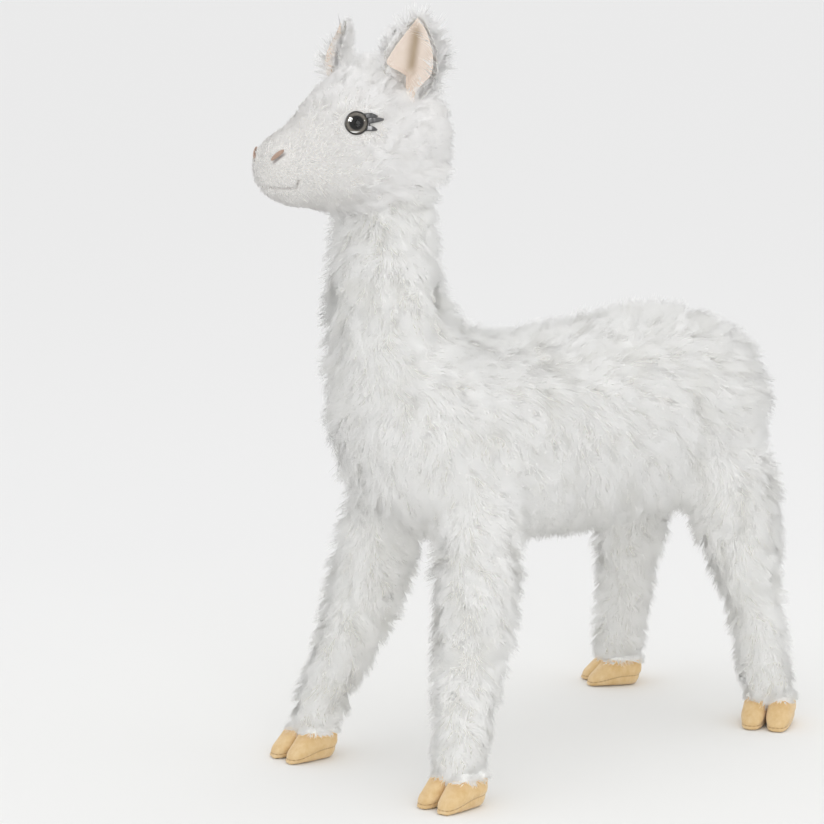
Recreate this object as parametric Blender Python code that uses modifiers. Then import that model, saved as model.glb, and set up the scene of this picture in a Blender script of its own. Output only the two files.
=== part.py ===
"""A standing plush alpaca with wire-framed legs, at its real size.

Metres, +Z up. The toy faces -Y and its left side is +X. Lengths along Y count from the middle
of its stance, and the finished toy is then moved so that the origin is on the floor, in the
middle of its box. Soft pieces are solid, at the outer surface of their fleece. Where one is
sewn to another, the smaller is cut by the larger one's skin and stays a seat gap away.
"""

import math

import bmesh
import bpy
from mathutils import Matrix, Vector
from mathutils.bvhtree import BVHTree

# Driving sizes: the stance
FRONT_HOOF_Y = -0.278
REAR_HOOF_Y = 0.274
FRONT_TRACK = 0.280
REAR_TRACK = 0.292
FRONT_TOE_OUT = math.radians(4)
REAR_TOE_OUT = math.radians(32)

# Driving sizes: torso and neck
BACK_HEIGHT = 0.550
BELLY_HEIGHT = 0.270
TORSO_WIDTH = 0.252
RUMP_Y = 0.362
WITHERS_Y = -0.110
NECK_Y = -0.264
NECK_DEPTH = 0.132
NECK_WIDTH = 0.132
NECK_TOP = 0.800

# Driving sizes: head, placed from the neck's top and from its own nose, crown and jaw
HEAD_RISE = 0.080
HEAD_HEIGHT = 0.178
HEAD_LENGTH = 0.254
HEAD_WIDTH = 0.164
NOSE_REACH = 0.184
MUZZLE_WIDTH = 0.082
MUZZLE_ROUND = 0.044
MOUTH_RISE = 0.042
MOUTH_CORNER_LIFT = 0.013
MOUTH_SEAM_WIDTH = 0.003
NOSTRIL_LENGTH = 0.020
NOSTRIL_WIDTH = 0.0065
NOSTRIL_DEPTH = 0.006
NOSTRIL_RISE = 0.026
NOSTRIL_SET_BACK = 0.040
NOSTRIL_TURN = math.radians(36)
NOSTRIL_RAISE = math.radians(14)
NOSTRIL_SLANT = math.radians(40)

# Driving sizes: ears and tail
EAR_SPREAD = 0.122
EAR_SET_BACK = 0.172
EAR_DROP = 0.042
EAR_LENGTH = 0.104
EAR_WIDTH = 0.070
EAR_TIP = 0.005
EAR_CUP = 0.016
EAR_LEAN = 0.010
EAR_FLEECE = 0.010
EAR_BORDER = 0.004
EAR_TIP_BORDER = 0.0064
EAR_LINING = 0.0015
EAR_LINING_GAP = 0.0008
EAR_FACING = math.radians(30)
EAR_SPLAY = math.radians(7)
EAR_WIDEST = 0.42
EAR_STEM = 0.42
TAIL_LENGTH = 0.095
TAIL_WIDTH = 0.074
TAIL_INSET = 0.050
TAIL_DROP = 0.060

# Driving sizes: legs and hooves
HIP_HEIGHT = 0.400
FRONT_HIP_SPREAD = 0.170
FRONT_HIP_Y = -0.176
FRONT_BOW_IN = 0.013
FRONT_BOW_BACK = 0.019
FRONT_LEG_WIDTH = 0.106
REAR_HIP_SPREAD = 0.148
REAR_HIP_Y = 0.242
REAR_BOW_IN = 0.006
REAR_BOW_BACK = 0.006
REAR_LEG_WIDTH = 0.112
HEM_HEIGHT = 0.042
HEM_TUCK = 0.012
ANKLE_SET_BACK = 0.008
HOOF_LENGTH = 0.075
HOOF_WIDTH = 0.070
HOOF_HEIGHT = 0.056
SOLE_CUT = 0.006
TOE_SPREAD = math.radians(4)
CLEFT = 0.0012
WIRE_DIAMETER = 0.004
WIRE_END_HEIGHT = 0.058
WIRE_ARCH = 0.045
WIRE_BENDS = 6

# Driving sizes: eyes
EYE_SET_BACK = 0.095
EYE_DROP = 0.062
EYE_DIAMETER = 0.028
EYE_DOME = 0.0075
EYE_RIM = 0.003
EYE_SINK = 0.0012
EYE_BEVEL = 0.001
SHANK_DIAMETER = 0.005
SHANK_LENGTH = 0.016
WASHER_DIAMETER = 0.018
WASHER_THICKNESS = 0.0016
WASHER_DEPTH = 0.009
LASH_THICKNESS = 0.0012
LASH_HEIGHT = 0.0006

# Clearance where one piece seats on another, the fleece's lumps, and what a cutter reaches past the toy
SEAT_GAP = 0.0003
FLEECE_RELIEF = 0.007
FLEECE_LUMP = 0.034
ROUND_STEPS = 14
CLEAR_OF_TOY = 0.3

# Places that follow from the sizes
NOSE_Y = NECK_Y - NOSE_REACH
CROWN_HEIGHT = NECK_TOP + HEAD_RISE
JAW_HEIGHT = CROWN_HEIGHT - HEAD_HEIGHT
MOUTH_HEIGHT = JAW_HEIGHT + MOUTH_RISE
TORSO_DEPTH = BACK_HEIGHT - BELLY_HEIGHT

# Forms, as shares of the sizes above.
# Torso from the rump forwards: where each section's back point and belly point lie along Y, in torso
# depths from its anchor, and how high, in torso depths above the belly, then its width.
TORSO_FORM = (
    ("rump", -0.02, 0.68, 0.00, 0.375, 0.36),
    ("rump", -0.11, 0.84, -0.08, 0.21, 0.72),
    ("rump", -0.29, 0.95, -0.27, 0.07, 0.93),
    ("rump", -0.54, 1.00, -0.54, 0.01, 1.00),
    ("rump", -0.93, 0.98, -0.95, 0.00, 1.00),
    ("withers", 0.29, 0.95, 0.18, 0.01, 0.98),
    ("withers", 0.02, 0.97, -0.21, 0.06, 0.97),
)
# Neck from the chest upwards: where each section's back point and front point lie along Y, in neck depths
# from the neck's back and front, and how far up they are, as shares of the rise from the back, or from the
# belly, to the neck's top. Then its width as a share of the neck's.
NECK_FORM = (
    (0.297, 0.045, 0.509, 0.085, 1.718),
    (0.085, 0.157, 0.148, 0.211, 1.489),
    (-0.021, 0.325, 0.021, 0.386, 1.222),
    (0.00, 0.493, 0.00, 0.560, 1.098),
    (0.00, 0.638, 0.00, 0.718, 1.021),
    (0.00, 0.799, 0.03, 0.841, 0.98),
    (-0.03, 0.942, 0.11, 0.943, 0.90),
    (-0.23, 1.000, 0.29, 0.988, 0.50),
)
# Head from the nose back: top point and bottom point, along in head lengths from the nose and up in head
# heights from the jaw, then the share of the muzzle's width, of the head's width, and the egg of the section.
HEAD_FORM = (
    (0.004, 0.466, 0.016, 0.270, 0.40, 0.00, 0.00),
    (0.040, 0.545, 0.051, 0.185, 0.76, 0.00, 0.00),
    (0.134, 0.612, 0.142, 0.129, 1.00, 0.00, 0.00),
    (0.244, 0.663, 0.260, 0.079, 1.22, 0.00, 0.05),
    (0.331, 0.787, 0.362, 0.039, 0.00, 0.80, 0.10),
    (0.433, 0.933, 0.465, 0.011, 0.00, 0.94, 0.12),
    (0.598, 1.000, 0.598, 0.000, 0.00, 1.00, 0.10),
    (0.780, 0.994, 0.760, 0.017, 0.00, 1.00, 0.06),
    (0.917, 0.893, 0.890, 0.090, 0.00, 0.88, 0.00),
    (0.992, 0.742, 0.976, 0.281, 0.00, 0.52, 0.00),
)
# Legs from the hip down: share of the leg's height, then width and depth as shares of the leg's width.
FRONT_LEG_FORM = (
    (0.00, 0.76, 0.94),
    (0.18, 0.94, 1.13),
    (0.36, 1.00, 1.11),
    (0.54, 0.96, 1.04),
    (0.70, 0.85, 0.91),
    (0.84, 0.72, 0.77),
    (0.93, 0.66, 0.70),
    (1.00, 0.64, 0.68),
)
REAR_LEG_FORM = (
    (0.00, 0.71, 1.14),
    (0.16, 1.00, 1.50),
    (0.33, 1.00, 1.29),
    (0.50, 0.80, 0.93),
    (0.66, 0.71, 0.77),
    (0.82, 0.66, 0.70),
    (0.93, 0.64, 0.68),
    (1.00, 0.63, 0.64),
)
# Tail: upper and lower point from its root, out in half widths, and up in half widths or in tail lengths.
TAIL_FORM = (
    (0.00, 0.65, 0.00, 0.00, -0.27, 0.00, 0.45),
    (0.76, 0.54, 0.00, 0.38, -0.81, 0.00, 0.82),
    (1.57, -0.11, 0.00, 0.43, -1.08, 0.00, 1.00),
    (2.00, -0.97, 0.00, 0.49, -1.35, 0.00, 1.00),
    (2.00, 0.00, -0.72, 0.65, 0.00, -0.70, 0.80),
    (1.51, 0.00, -0.98, 0.97, 0.00, -0.90, 0.34),
)
# Lash: its three points, in eye radii from the middle of the eye, towards the back and up.
LASH_FORM = ((1.00, 0.66), (1.82, 0.31), (1.56, 0.08), (2.24, 0.0), (1.54, -0.52), (1.62, -0.70), (1.16, -0.99))

SIDES = (("left", 1), ("right", -1))
parts = None
cutters = None


# Scene, materials and objects
def clear_scene():
    for old in list(bpy.data.objects):
        bpy.data.objects.remove(old)


def new_collection(name):
    made = bpy.data.collections.new(name)
    bpy.context.scene.collection.children.link(made)
    return made


def new_material(name, colour, roughness, metallic=0.0):
    made = bpy.data.materials.new(name)
    made.use_nodes = True
    shader = made.node_tree.nodes["Principled BSDF"]
    shader.inputs["Base Color"].default_value = (*colour, 1.0)
    shader.inputs["Roughness"].default_value = roughness
    shader.inputs["Metallic"].default_value = metallic
    made.diffuse_color = (*colour, 1.0)
    return made


def add_part(name, data, material):
    made = bpy.data.objects.new(name, data)
    data.materials.append(material)
    parts.objects.link(made)
    return made


def add_cutter(name, data):
    made = bpy.data.objects.new(name, data)
    made.hide_render = True
    made.display_type = "WIRE"
    cutters.objects.link(made)
    return made


def mesh_from(bm, name, smooth=True):
    bmesh.ops.recalc_face_normals(bm, faces=bm.faces)
    data = bpy.data.meshes.new(name)
    bm.to_mesh(data)
    bm.free()
    if smooth:
        data.shade_smooth()
    return data


def evaluated_mesh(source):
    """The object's mesh with its modifiers, in world space."""
    bpy.context.view_layer.update()
    graph = bpy.context.evaluated_depsgraph_get()
    data = bpy.data.meshes.new_from_object(source.evaluated_get(graph))
    data.transform(source.matrix_world)
    return data


def surface_of(source):
    bm = bmesh.new()
    bm.from_mesh(evaluated_mesh(source))
    tree = BVHTree.FromBMesh(bm)
    bm.free()
    return tree


# Modifiers
def subdivide(target, levels):
    made = target.modifiers.new("soft", "SUBSURF")
    made.levels = levels
    made.render_levels = levels


def roughen(target):
    """Lumps of fleece, which stand out of the surface and sink into it by half the relief."""
    lumps = bpy.data.textures.get("fleece_lumps") or bpy.data.textures.new("fleece_lumps", "CLOUDS")
    lumps.noise_scale = FLEECE_LUMP
    lumps.noise_depth = 1
    made = target.modifiers.new("fleece", "DISPLACE")
    made.texture = lumps
    made.texture_coords = "LOCAL"
    made.strength = 2 * FLEECE_RELIEF
    made.mid_level = 0.5


def facet(target):
    """Flat triangles, so that a cutter copied from this piece bends along the same edges as the piece."""
    target.modifiers.new("facets", "TRIANGULATE")


def swell(target, distance):
    made = target.modifiers.new("gap", "DISPLACE")
    made.mid_level = 0.0
    made.strength = distance


def cut(target, cutter):
    made = target.modifiers.new("cut_" + cutter.name, "BOOLEAN")
    made.operation = "DIFFERENCE"
    made.object = cutter


def turn(target):
    made = target.modifiers.new("turned", "SCREW")
    made.steps = ROUND_STEPS
    made.render_steps = ROUND_STEPS
    made.use_merge_vertices = True
    made.merge_threshold = 0.00001


def grown(source, name):
    """A cutter in the source's own form, larger by the seat gap, for what is sewn to it."""
    made = add_cutter(name, evaluated_mesh(source))
    swell(made, SEAT_GAP)
    return made


# Lofted soft forms
def oval(back, belly, half_width, egg=0.0):
    """A section through the middle plane, from its points (y, z) there. egg widens its lower half."""
    top = Vector((0, *back))
    low = Vector((0, *belly))
    return (top + low) / 2, Vector((half_width, 0, 0)), (top - low) / 2, egg


def level_oval(centre, half_x, half_y):
    """A section that lies level, as those of the legs do."""
    return Vector(centre), Vector((half_x, 0, 0)), Vector((0, half_y, 0)), 0.0


def blended(stations, count):
    """As many stations as count, read from a Catmull-Rom curve through the given ones."""
    last = len(stations) - 1
    made = []
    for step in range(count):
        at = step * last / (count - 1)
        i = min(int(at), last - 1)
        t = at - i
        near = [stations[min(max(i + k, 0), last)] for k in (-1, 0, 1, 2)]
        weights = (
            (-t + 2 * t**2 - t**3) / 2,
            (2 - 5 * t**2 + 3 * t**3) / 2,
            (t + 4 * t**2 - 3 * t**3) / 2,
            (-(t**2) + t**3) / 2,
        )
        made.append(
            tuple(
                sum((near[k][part] * weights[k] for k in range(1, 4)), near[0][part] * weights[0])
                for part in range(4)
            )
        )
    return made


def loft(name, stations, rings, sides):
    """A closed cage of ovals with flat ends. It is drawn larger by what subdivision takes off a round."""
    cage = 6 / (4 + 2 * math.cos(2 * math.pi / sides))
    bm = bmesh.new()
    rows = []
    for centre, across, up, egg in blended(stations, rings):
        row = []
        for k in range(sides):
            angle = 2 * math.pi * k / sides
            wide = math.cos(angle) * (1 - egg * math.sin(angle))
            row.append(bm.verts.new(centre + cage * (across * wide + up * math.sin(angle))))
        rows.append(row)
    for first, second in zip(rows, rows[1:]):
        for k in range(sides):
            after = (k + 1) % sides
            bm.faces.new((first[k], first[after], second[after], second[k]))
    bm.faces.new(rows[0])
    bm.faces.new(rows[-1])
    return mesh_from(bm, name)


# Torso and neck, one stuffed piece
def body_stations():
    """From the rump along the back and up the neck, each from its back point and its belly point."""
    anchors = {"rump": RUMP_Y, "withers": WITHERS_Y}
    stations = []
    for anchor, back_along, back_level, belly_along, belly_level, width in TORSO_FORM:
        start = anchors[anchor]
        back = (start + back_along * TORSO_DEPTH, BELLY_HEIGHT + back_level * TORSO_DEPTH)
        belly = (start + belly_along * TORSO_DEPTH, BELLY_HEIGHT + belly_level * TORSO_DEPTH)
        stations.append(oval(back, belly, width * TORSO_WIDTH / 2))
    neck_back = NECK_Y + NECK_DEPTH / 2
    neck_front = NECK_Y - NECK_DEPTH / 2
    for back_along, back_rise, front_along, front_rise, width in NECK_FORM:
        back = (neck_back + back_along * NECK_DEPTH, BACK_HEIGHT + back_rise * (NECK_TOP - BACK_HEIGHT))
        front = (neck_front + front_along * NECK_DEPTH, BELLY_HEIGHT + front_rise * (NECK_TOP - BELLY_HEIGHT))
        stations.append(oval(back, front, width * NECK_WIDTH / 2))
    return stations


def make_body(fleece):
    body = add_part("body", loft("body", body_stations(), 17, 12), fleece)
    subdivide(body, 1)
    roughen(body)
    facet(body)
    return body


# Legs, each a stuffed sleeve over its half of a wire frame
def leg_line(side, hip, ankle, bow):
    """The middle of a leg, as a function of the share of its height from the hip down."""
    top = Vector((side * hip[0], hip[1], HIP_HEIGHT))
    foot = Vector((side * ankle[0], ankle[1], HEM_HEIGHT - HEM_TUCK))
    bend = Vector((-side * bow[0], bow[1], 0))
    return lambda share: top.lerp(foot, share) + bend * math.sin(math.pi * share)


def front_leg_middle(side):
    hip = (FRONT_HIP_SPREAD / 2, FRONT_HIP_Y)
    ankle = (FRONT_TRACK / 2, FRONT_HOOF_Y + ANKLE_SET_BACK)
    return leg_line(side, hip, ankle, (FRONT_BOW_IN, FRONT_BOW_BACK))


def rear_leg_middle(side):
    hip = (REAR_HIP_SPREAD / 2, REAR_HIP_Y)
    ankle = (REAR_TRACK / 2, REAR_HOOF_Y + ANKLE_SET_BACK)
    return leg_line(side, hip, ankle, (REAR_BOW_IN, REAR_BOW_BACK))


def make_leg(name, middle, form, width, body_seat, floor_box, fleece):
    half = width / 2
    stations = [level_oval(middle(share), wide * half, deep * half) for share, wide, deep in form]
    leg = add_part(name, loft(name, stations, 7, 8), fleece)
    subdivide(leg, 1)
    roughen(leg)
    cut(leg, body_seat)
    cut(leg, floor_box)
    return leg


# Hooves, two stuffed toes each
def toe_cage(name):
    """A toe along -Y: low, narrow and round in front, with its heel leaning back towards the top."""
    bm = bmesh.new()
    bmesh.ops.create_cube(bm, size=1.0)
    for middle, across in (((0, 0, 0), "X"), ((0, 0, 0), "Z"), ((0, -1 / 6, 0), "Y"), ((0, 1 / 6, 0), "Y")):
        everything = [*bm.verts, *bm.edges, *bm.faces]
        normal = Vector([axis == across for axis in "XYZ"])
        bmesh.ops.bisect_plane(bm, geom=everything, plane_co=middle, plane_no=normal)
    for vert in bm.verts:
        front = 0.5 - vert.co.y
        top = vert.co.z + 0.5
        vert.co.x *= 1 - 0.24 * front * front
        vert.co.y += (0.30 * front + 0.10) * top
        vert.co.z = top * (1 - 0.40 * front * front)
    return mesh_from(bm, name)


def fit_box(target, low, high):
    """Stretch a cage so that the rounded form it makes fills this box."""
    points = [vert.co for vert in evaluated_mesh(target).vertices]
    least = Vector([min(point[k] for point in points) for k in range(3)])
    most = Vector([max(point[k] for point in points) for k in range(3)])
    stretch = [(high[k] - low[k]) / (most[k] - least[k]) for k in range(3)]
    move = Matrix.Translation(low) @ Matrix.Diagonal((*stretch, 1)) @ Matrix.Translation(-least)
    target.data.transform(move)


def make_toe(name, place, inner, floor_box, ankle_box, suede):
    toe = add_part(name, toe_cage(name), suede)
    subdivide(toe, 1)
    start = CLEFT / 2
    fit_box(toe, (start, -HOOF_LENGTH / 2, -SOLE_CUT), (HOOF_WIDTH / 2, HOOF_LENGTH / 2, HOOF_HEIGHT))
    heel = Matrix.Translation((0, HOOF_LENGTH / 2, 0))
    spread = heel @ Matrix.Rotation(TOE_SPREAD, 4, "Z") @ heel.inverted()
    flip = Matrix.Scale(-1, 4, (1, 0, 0)) if inner else Matrix()
    toe.data.transform(place @ flip @ spread)
    if inner:
        toe.data.flip_normals()
    cut(toe, floor_box)
    cut(toe, ankle_box)
    return toe


def level_box(name, low, high):
    """A cutter that reaches past the toy on every side, between two heights."""
    bm = bmesh.new()
    bmesh.ops.create_cube(bm, size=1.0)
    span = 2 * (REAR_HOOF_Y - FRONT_HOOF_Y + CLEAR_OF_TOY)
    bmesh.ops.scale(bm, vec=(span, span, high - low), verts=bm.verts)
    bmesh.ops.translate(bm, vec=(0, 0, (low + high) / 2), verts=bm.verts)
    return add_cutter(name, mesh_from(bm, name, smooth=False))


# Wire frames, one bent wire for each pair of legs
def wire_points(middle_of):
    """Up the left leg, over inside the torso and down the right leg."""
    legs = []
    for _, side in SIDES:
        middle = middle_of(side)
        drop = (middle(0.0).z - WIRE_END_HEIGHT) / (middle(0.0).z - middle(1.0).z)
        legs.append([middle(drop * (1 - k / WIRE_BENDS)) for k in range(WIRE_BENDS + 1)])
    left, right = legs
    half, y, z = left[-1]
    turns = [math.pi * k / WIRE_BENDS for k in range(1, WIRE_BENDS)]
    over = [Vector((half * math.cos(a), y, z + WIRE_ARCH * math.sin(a))) for a in turns]
    return left + over + right[::-1]


def wire_curve(name, points, radius, roundness=2):
    data = bpy.data.curves.new(name, "CURVE")
    data.dimensions = "3D"
    data.bevel_depth = radius
    data.bevel_resolution = roundness
    data.use_fill_caps = True
    line = data.splines.new("POLY")
    line.points.add(len(points) - 1)
    for spot, point in zip(line.points, points):
        spot.co = (*point, 1.0)
    return data


def curve_to_mesh(data, name):
    carrier = bpy.data.objects.new(name + "_line", data)
    cutters.objects.link(carrier)
    made = evaluated_mesh(carrier)
    bpy.data.objects.remove(carrier)
    bm = bmesh.new()
    bm.from_mesh(made)
    bmesh.ops.remove_doubles(bm, verts=bm.verts, dist=0.00001)
    return mesh_from(bm, name)


def make_wire(name, points, holders, steel):
    wire = add_part(name, wire_curve(name, points, WIRE_DIAMETER / 2), steel)
    reach = SEAT_GAP / (points[1] - points[0]).length
    ends = [points[0].lerp(points[1], -reach)] + points[1:-1] + [points[-1].lerp(points[-2], -reach)]
    data = wire_curve(name + "_bore", ends, WIRE_DIAMETER / 2 + SEAT_GAP)
    bore = add_cutter(name + "_bore", curve_to_mesh(data, name + "_bore"))
    for holder in holders:
        cut(holder, bore)
    return wire


# Head
def head_stations():
    """From the nose to the back of the skull, each from its top point and its bottom point."""
    stations = []
    for top_along, top_level, low_along, low_level, muzzle, skull, egg in HEAD_FORM:
        top = (NOSE_Y + top_along * HEAD_LENGTH, JAW_HEIGHT + top_level * HEAD_HEIGHT)
        low = (NOSE_Y + low_along * HEAD_LENGTH, JAW_HEIGHT + low_level * HEAD_HEIGHT)
        stations.append(oval(top, low, (muzzle * MUZZLE_WIDTH + skull * HEAD_WIDTH) / 2, egg))
    return stations


def make_head(fleece):
    head = add_part("head", loft("head", head_stations(), 11, 12), fleece)
    subdivide(head, 1)
    facet(head)
    return head


def frame_at(skin, start, towards, up=Vector((0, 0, 1))):
    """A frame where a ray meets the skin: its Z stands out of the skin and its Y is as near up as can be."""
    place, normal, _, _ = skin.ray_cast(Vector(start), Vector(towards).normalized())
    across = up.cross(normal).normalized()
    rise = normal.cross(across)
    return Matrix.Translation(place) @ Matrix((across, rise, normal)).transposed().to_4x4()


# Safety eyes: a black cup with a shank, a clear dome on it, a lash and a washer inside the head
def turned(name, profile):
    """A profile for a round solid about Z: points (radius, height) from the top down the outside.

    One that doesn't start on the axis is a ring, and is closed from its last point to its first.
    """
    points = [(radius, 0, height) for radius, height in profile]
    last = len(points) if profile[0][0] > 0 else len(points) - 1
    edges = [(k, (k + 1) % len(points)) for k in range(last)]
    data = bpy.data.meshes.new(name)
    data.from_pydata(points, edges, [])
    return data


def dome_points(radius, height, base, count=4):
    """A round cap from its top to its rim."""
    ball = (radius**2 + height**2) / (2 * height)
    opening = math.asin(min(radius / ball, 1.0))
    turns = [opening * k / count for k in range(count + 1)]
    return [(ball * math.sin(a), base + height - ball * (1 - math.cos(a))) for a in turns]


def eye_cup_profile():
    rim = EYE_DIAMETER / 2
    shank = SHANK_DIAMETER / 2
    return [
        (0, EYE_RIM),
        (rim - EYE_BEVEL, EYE_RIM),
        (rim, EYE_RIM - EYE_BEVEL),
        (rim, 0),
        (shank, 0),
        (shank, -SHANK_LENGTH + EYE_BEVEL),
        (shank - EYE_BEVEL, -SHANK_LENGTH),
        (0, -SHANK_LENGTH),
    ]


def eye_dome_profile():
    base = EYE_RIM + SEAT_GAP
    return dome_points(EYE_DIAMETER / 2 - EYE_BEVEL, EYE_DOME, base) + [(0, base)]


def washer_profile():
    inner = SHANK_DIAMETER / 2 + SEAT_GAP
    outer = WASHER_DIAMETER / 2
    top = -WASHER_DEPTH
    low = top - WASHER_THICKNESS
    return [(inner, top), (outer, top), (outer, low), (inner, low)]


def eye_pocket_profile():
    """Room in the head for the cup's seat, the shank and the washer."""
    rim = EYE_DIAMETER / 2 + SEAT_GAP
    shank = SHANK_DIAMETER / 2 + SEAT_GAP
    washer = WASHER_DIAMETER / 2 + SEAT_GAP
    top = -WASHER_DEPTH + SEAT_GAP
    low = top - WASHER_THICKNESS - 2 * SEAT_GAP
    end = -SHANK_LENGTH - SEAT_GAP
    seat = -SEAT_GAP
    return [
        (0, EYE_DIAMETER),
        (rim, EYE_DIAMETER),
        (rim, seat),
        (shank, seat),
        (shank, top),
        (washer, top),
        (washer, low),
        (shank, low),
        (shank, end),
        (0, end),
    ]


def lash_outline():
    """The arc along the rim of the eye, then the three points. x runs back and y up, from the eye's middle."""
    rim = EYE_DIAMETER / 2 + SEAT_GAP
    arc = [math.radians(a) for a in range(-46, 35, 10)]
    points = [(rim * math.cos(a), rim * math.sin(a)) for a in arc]
    return points + [(rim * x, rim * y) for x, y in LASH_FORM]


def make_lash(name, place, back, black):
    bm = bmesh.new()
    face = bm.faces.new([bm.verts.new((back * x, y, LASH_HEIGHT)) for x, y in lash_outline()])
    grown_faces = bmesh.ops.extrude_face_region(bm, geom=[face])
    raised = [item for item in grown_faces["geom"] if isinstance(item, bmesh.types.BMVert)]
    bmesh.ops.translate(bm, vec=(0, 0, LASH_THICKNESS), verts=raised)
    lash = add_part(name, mesh_from(bm, name, smooth=False), black)
    lash.matrix_world = place
    return lash


def make_eye(word, side, skin, head, looks):
    start = (side * CLEAR_OF_TOY, NOSE_Y + EYE_SET_BACK, CROWN_HEIGHT - EYE_DROP)
    place = frame_at(skin, start, (-side, 0, 0))
    sunk = place @ Matrix.Translation((0, 0, -EYE_SINK))
    for kind, profile, look in (
        ("eye_cup_", eye_cup_profile(), "black"),
        ("eye_dome_", eye_dome_profile(), "clear"),
        ("eye_washer_", washer_profile(), "washer"),
    ):
        made = add_part(kind + word, turned(kind + word, profile), looks[look])
        turn(made)
        made.matrix_world = sunk
    pocket = add_cutter("eye_pocket_" + word, turned("eye_pocket_" + word, eye_pocket_profile()))
    turn(pocket)
    pocket.matrix_world = sunk
    cut(head, pocket)
    make_lash("eyelash_" + word, place, side, looks["black"])


# Nose and mouth
def ellipsoid(name, half):
    bm = bmesh.new()
    bmesh.ops.create_uvsphere(bm, u_segments=10, v_segments=6, radius=1.0)
    bmesh.ops.scale(bm, vec=half, verts=bm.verts)
    return mesh_from(bm, name)


def make_nostril(word, side, skin, head, tan):
    """A narrow lens of tan cloth in a slit on the upper front of the nose."""
    aim = Vector((side * math.sin(NOSTRIL_TURN), -math.cos(NOSTRIL_TURN), math.tan(NOSTRIL_RAISE)))
    middle = Vector((0, NOSE_Y + NOSTRIL_SET_BACK, MOUTH_HEIGHT + NOSTRIL_RISE))
    place = frame_at(skin, middle + aim * CLEAR_OF_TOY, -aim)
    place = place @ Matrix.Rotation(side * NOSTRIL_SLANT, 4, "Z")
    half = Vector((NOSTRIL_LENGTH, NOSTRIL_WIDTH, NOSTRIL_DEPTH)) / 2
    patch = add_part("nostril_" + word, ellipsoid("nostril_" + word, half), tan)
    patch.matrix_world = place
    slit = add_cutter("nostril_slit_" + word, ellipsoid("nostril_slit_" + word, half))
    swell(slit, SEAT_GAP)
    slit.matrix_world = place
    cut(head, slit)


def mouth_seam(skin, head):
    """The seam between muzzle and chin: level round the nose, and turned up at both corners."""
    middle = Vector((0, NOSE_Y + MUZZLE_ROUND, 0))
    points = []
    corner = 74
    for degrees in range(-corner - 16, corner + 17, 12):
        lift = MOUTH_CORNER_LIFT * max(0, (abs(degrees) - corner + 16) / 24)
        angle = math.radians(max(-corner, min(corner, degrees)))
        aim = Vector((math.sin(angle), -math.cos(angle), 0))
        start = middle + aim * CLEAR_OF_TOY + Vector((0, 0, MOUTH_HEIGHT + lift))
        points.append(skin.ray_cast(start, -aim)[0])
    data = wire_curve("mouth_seam", points, MOUTH_SEAM_WIDTH / 2, roundness=0)
    cut(head, add_cutter("mouth_seam", curve_to_mesh(data, "mouth_seam")))


# Ears: a cupped leaf of fleece with a suede lining in its front
def ear_leaf(name, narrower, shorter, set_forward):
    """A leaf with its stem at the origin and its tip up Z, cupped so that its edges come forward, to -Y."""
    bm = bmesh.new()
    bmesh.ops.create_grid(bm, x_segments=6, y_segments=6, size=1.0)
    for vert in bm.verts:
        height = (vert.co.y + 1) / 2 * (EAR_LENGTH - shorter)
        half = max(EAR_WIDTH / 2 * ear_outline(height / EAR_LENGTH) - narrower, EAR_TIP / 2)
        across = half * vert.co.x
        cup = EAR_CUP * (2 * across / EAR_WIDTH) ** 2
        lean = EAR_LEAN * (height / EAR_LENGTH) ** 2
        vert.co = Vector((across, lean - cup - set_forward, height))
    return mesh_from(bm, name)


def ear_outline(share):
    """Half width of the leaf as a share of its greatest, from a narrow stem to a pointed tip."""
    if share < EAR_WIDEST:
        return EAR_STEM + (1 - EAR_STEM) * math.sin(math.pi / 2 * share / EAR_WIDEST)
    return max(math.cos(math.pi / 2 * (share - EAR_WIDEST) / (1 - EAR_WIDEST)), 0) ** 0.9


def make_ear(word, side, head_seat, fleece, suede):
    splay = Matrix.Rotation(side * EAR_SPLAY, 4, "Y")
    face = Matrix.Rotation(side * EAR_FACING, 4, "Z")
    stem = (side * EAR_SPREAD / 2, NOSE_Y + EAR_SET_BACK, CROWN_HEIGHT - EAR_DROP)
    place = Matrix.Translation(stem) @ splay @ face
    shell = add_part("ear_" + word, ear_leaf("ear_" + word, 0, 0, 0), fleece)
    leaf = ear_leaf("ear_lining_" + word, EAR_BORDER, EAR_TIP_BORDER, EAR_LINING_GAP)
    lining = add_part("ear_lining_" + word, leaf, suede)
    for piece, thickness, offset in ((shell, EAR_FLEECE, -1), (lining, EAR_LINING, 1)):
        wall = piece.modifiers.new("wall", "SOLIDIFY")
        wall.thickness = thickness
        wall.offset = offset
        piece.matrix_world = place
        cut(piece, head_seat)


# Tail
def tail_stations():
    """From its root at the top of the rump, out and down to the tip of the tuft."""
    half = TAIL_WIDTH / 2
    root = Vector((RUMP_Y - TAIL_INSET, BACK_HEIGHT - TAIL_DROP))
    stations = []
    for out, rise, hang, low_out, low_rise, low_hang, width in TAIL_FORM:
        upper = root + Vector((out * half, rise * half + hang * TAIL_LENGTH))
        lower = root + Vector((low_out * half, low_rise * half + low_hang * TAIL_LENGTH))
        stations.append(oval(upper, lower, width * half))
    return stations


def make_tail(body_seat, fleece):
    tail = add_part("tail", loft("tail", tail_stations(), 6, 8), fleece)
    subdivide(tail, 1)
    roughen(tail)
    cut(tail, body_seat)
    return tail


def centre_on_floor():
    """Hold every piece and cutter by one empty, and move that so the toy's box is centred over the origin."""
    ends = [vert.co.y for piece in parts.objects for vert in evaluated_mesh(piece).vertices]
    holder = bpy.data.objects.new("stance", None)
    parts.objects.link(holder)
    for piece in [*parts.objects, *cutters.objects]:
        if piece != holder:
            piece.parent = holder
    holder.location.y = -(min(ends) + max(ends)) / 2


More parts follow.
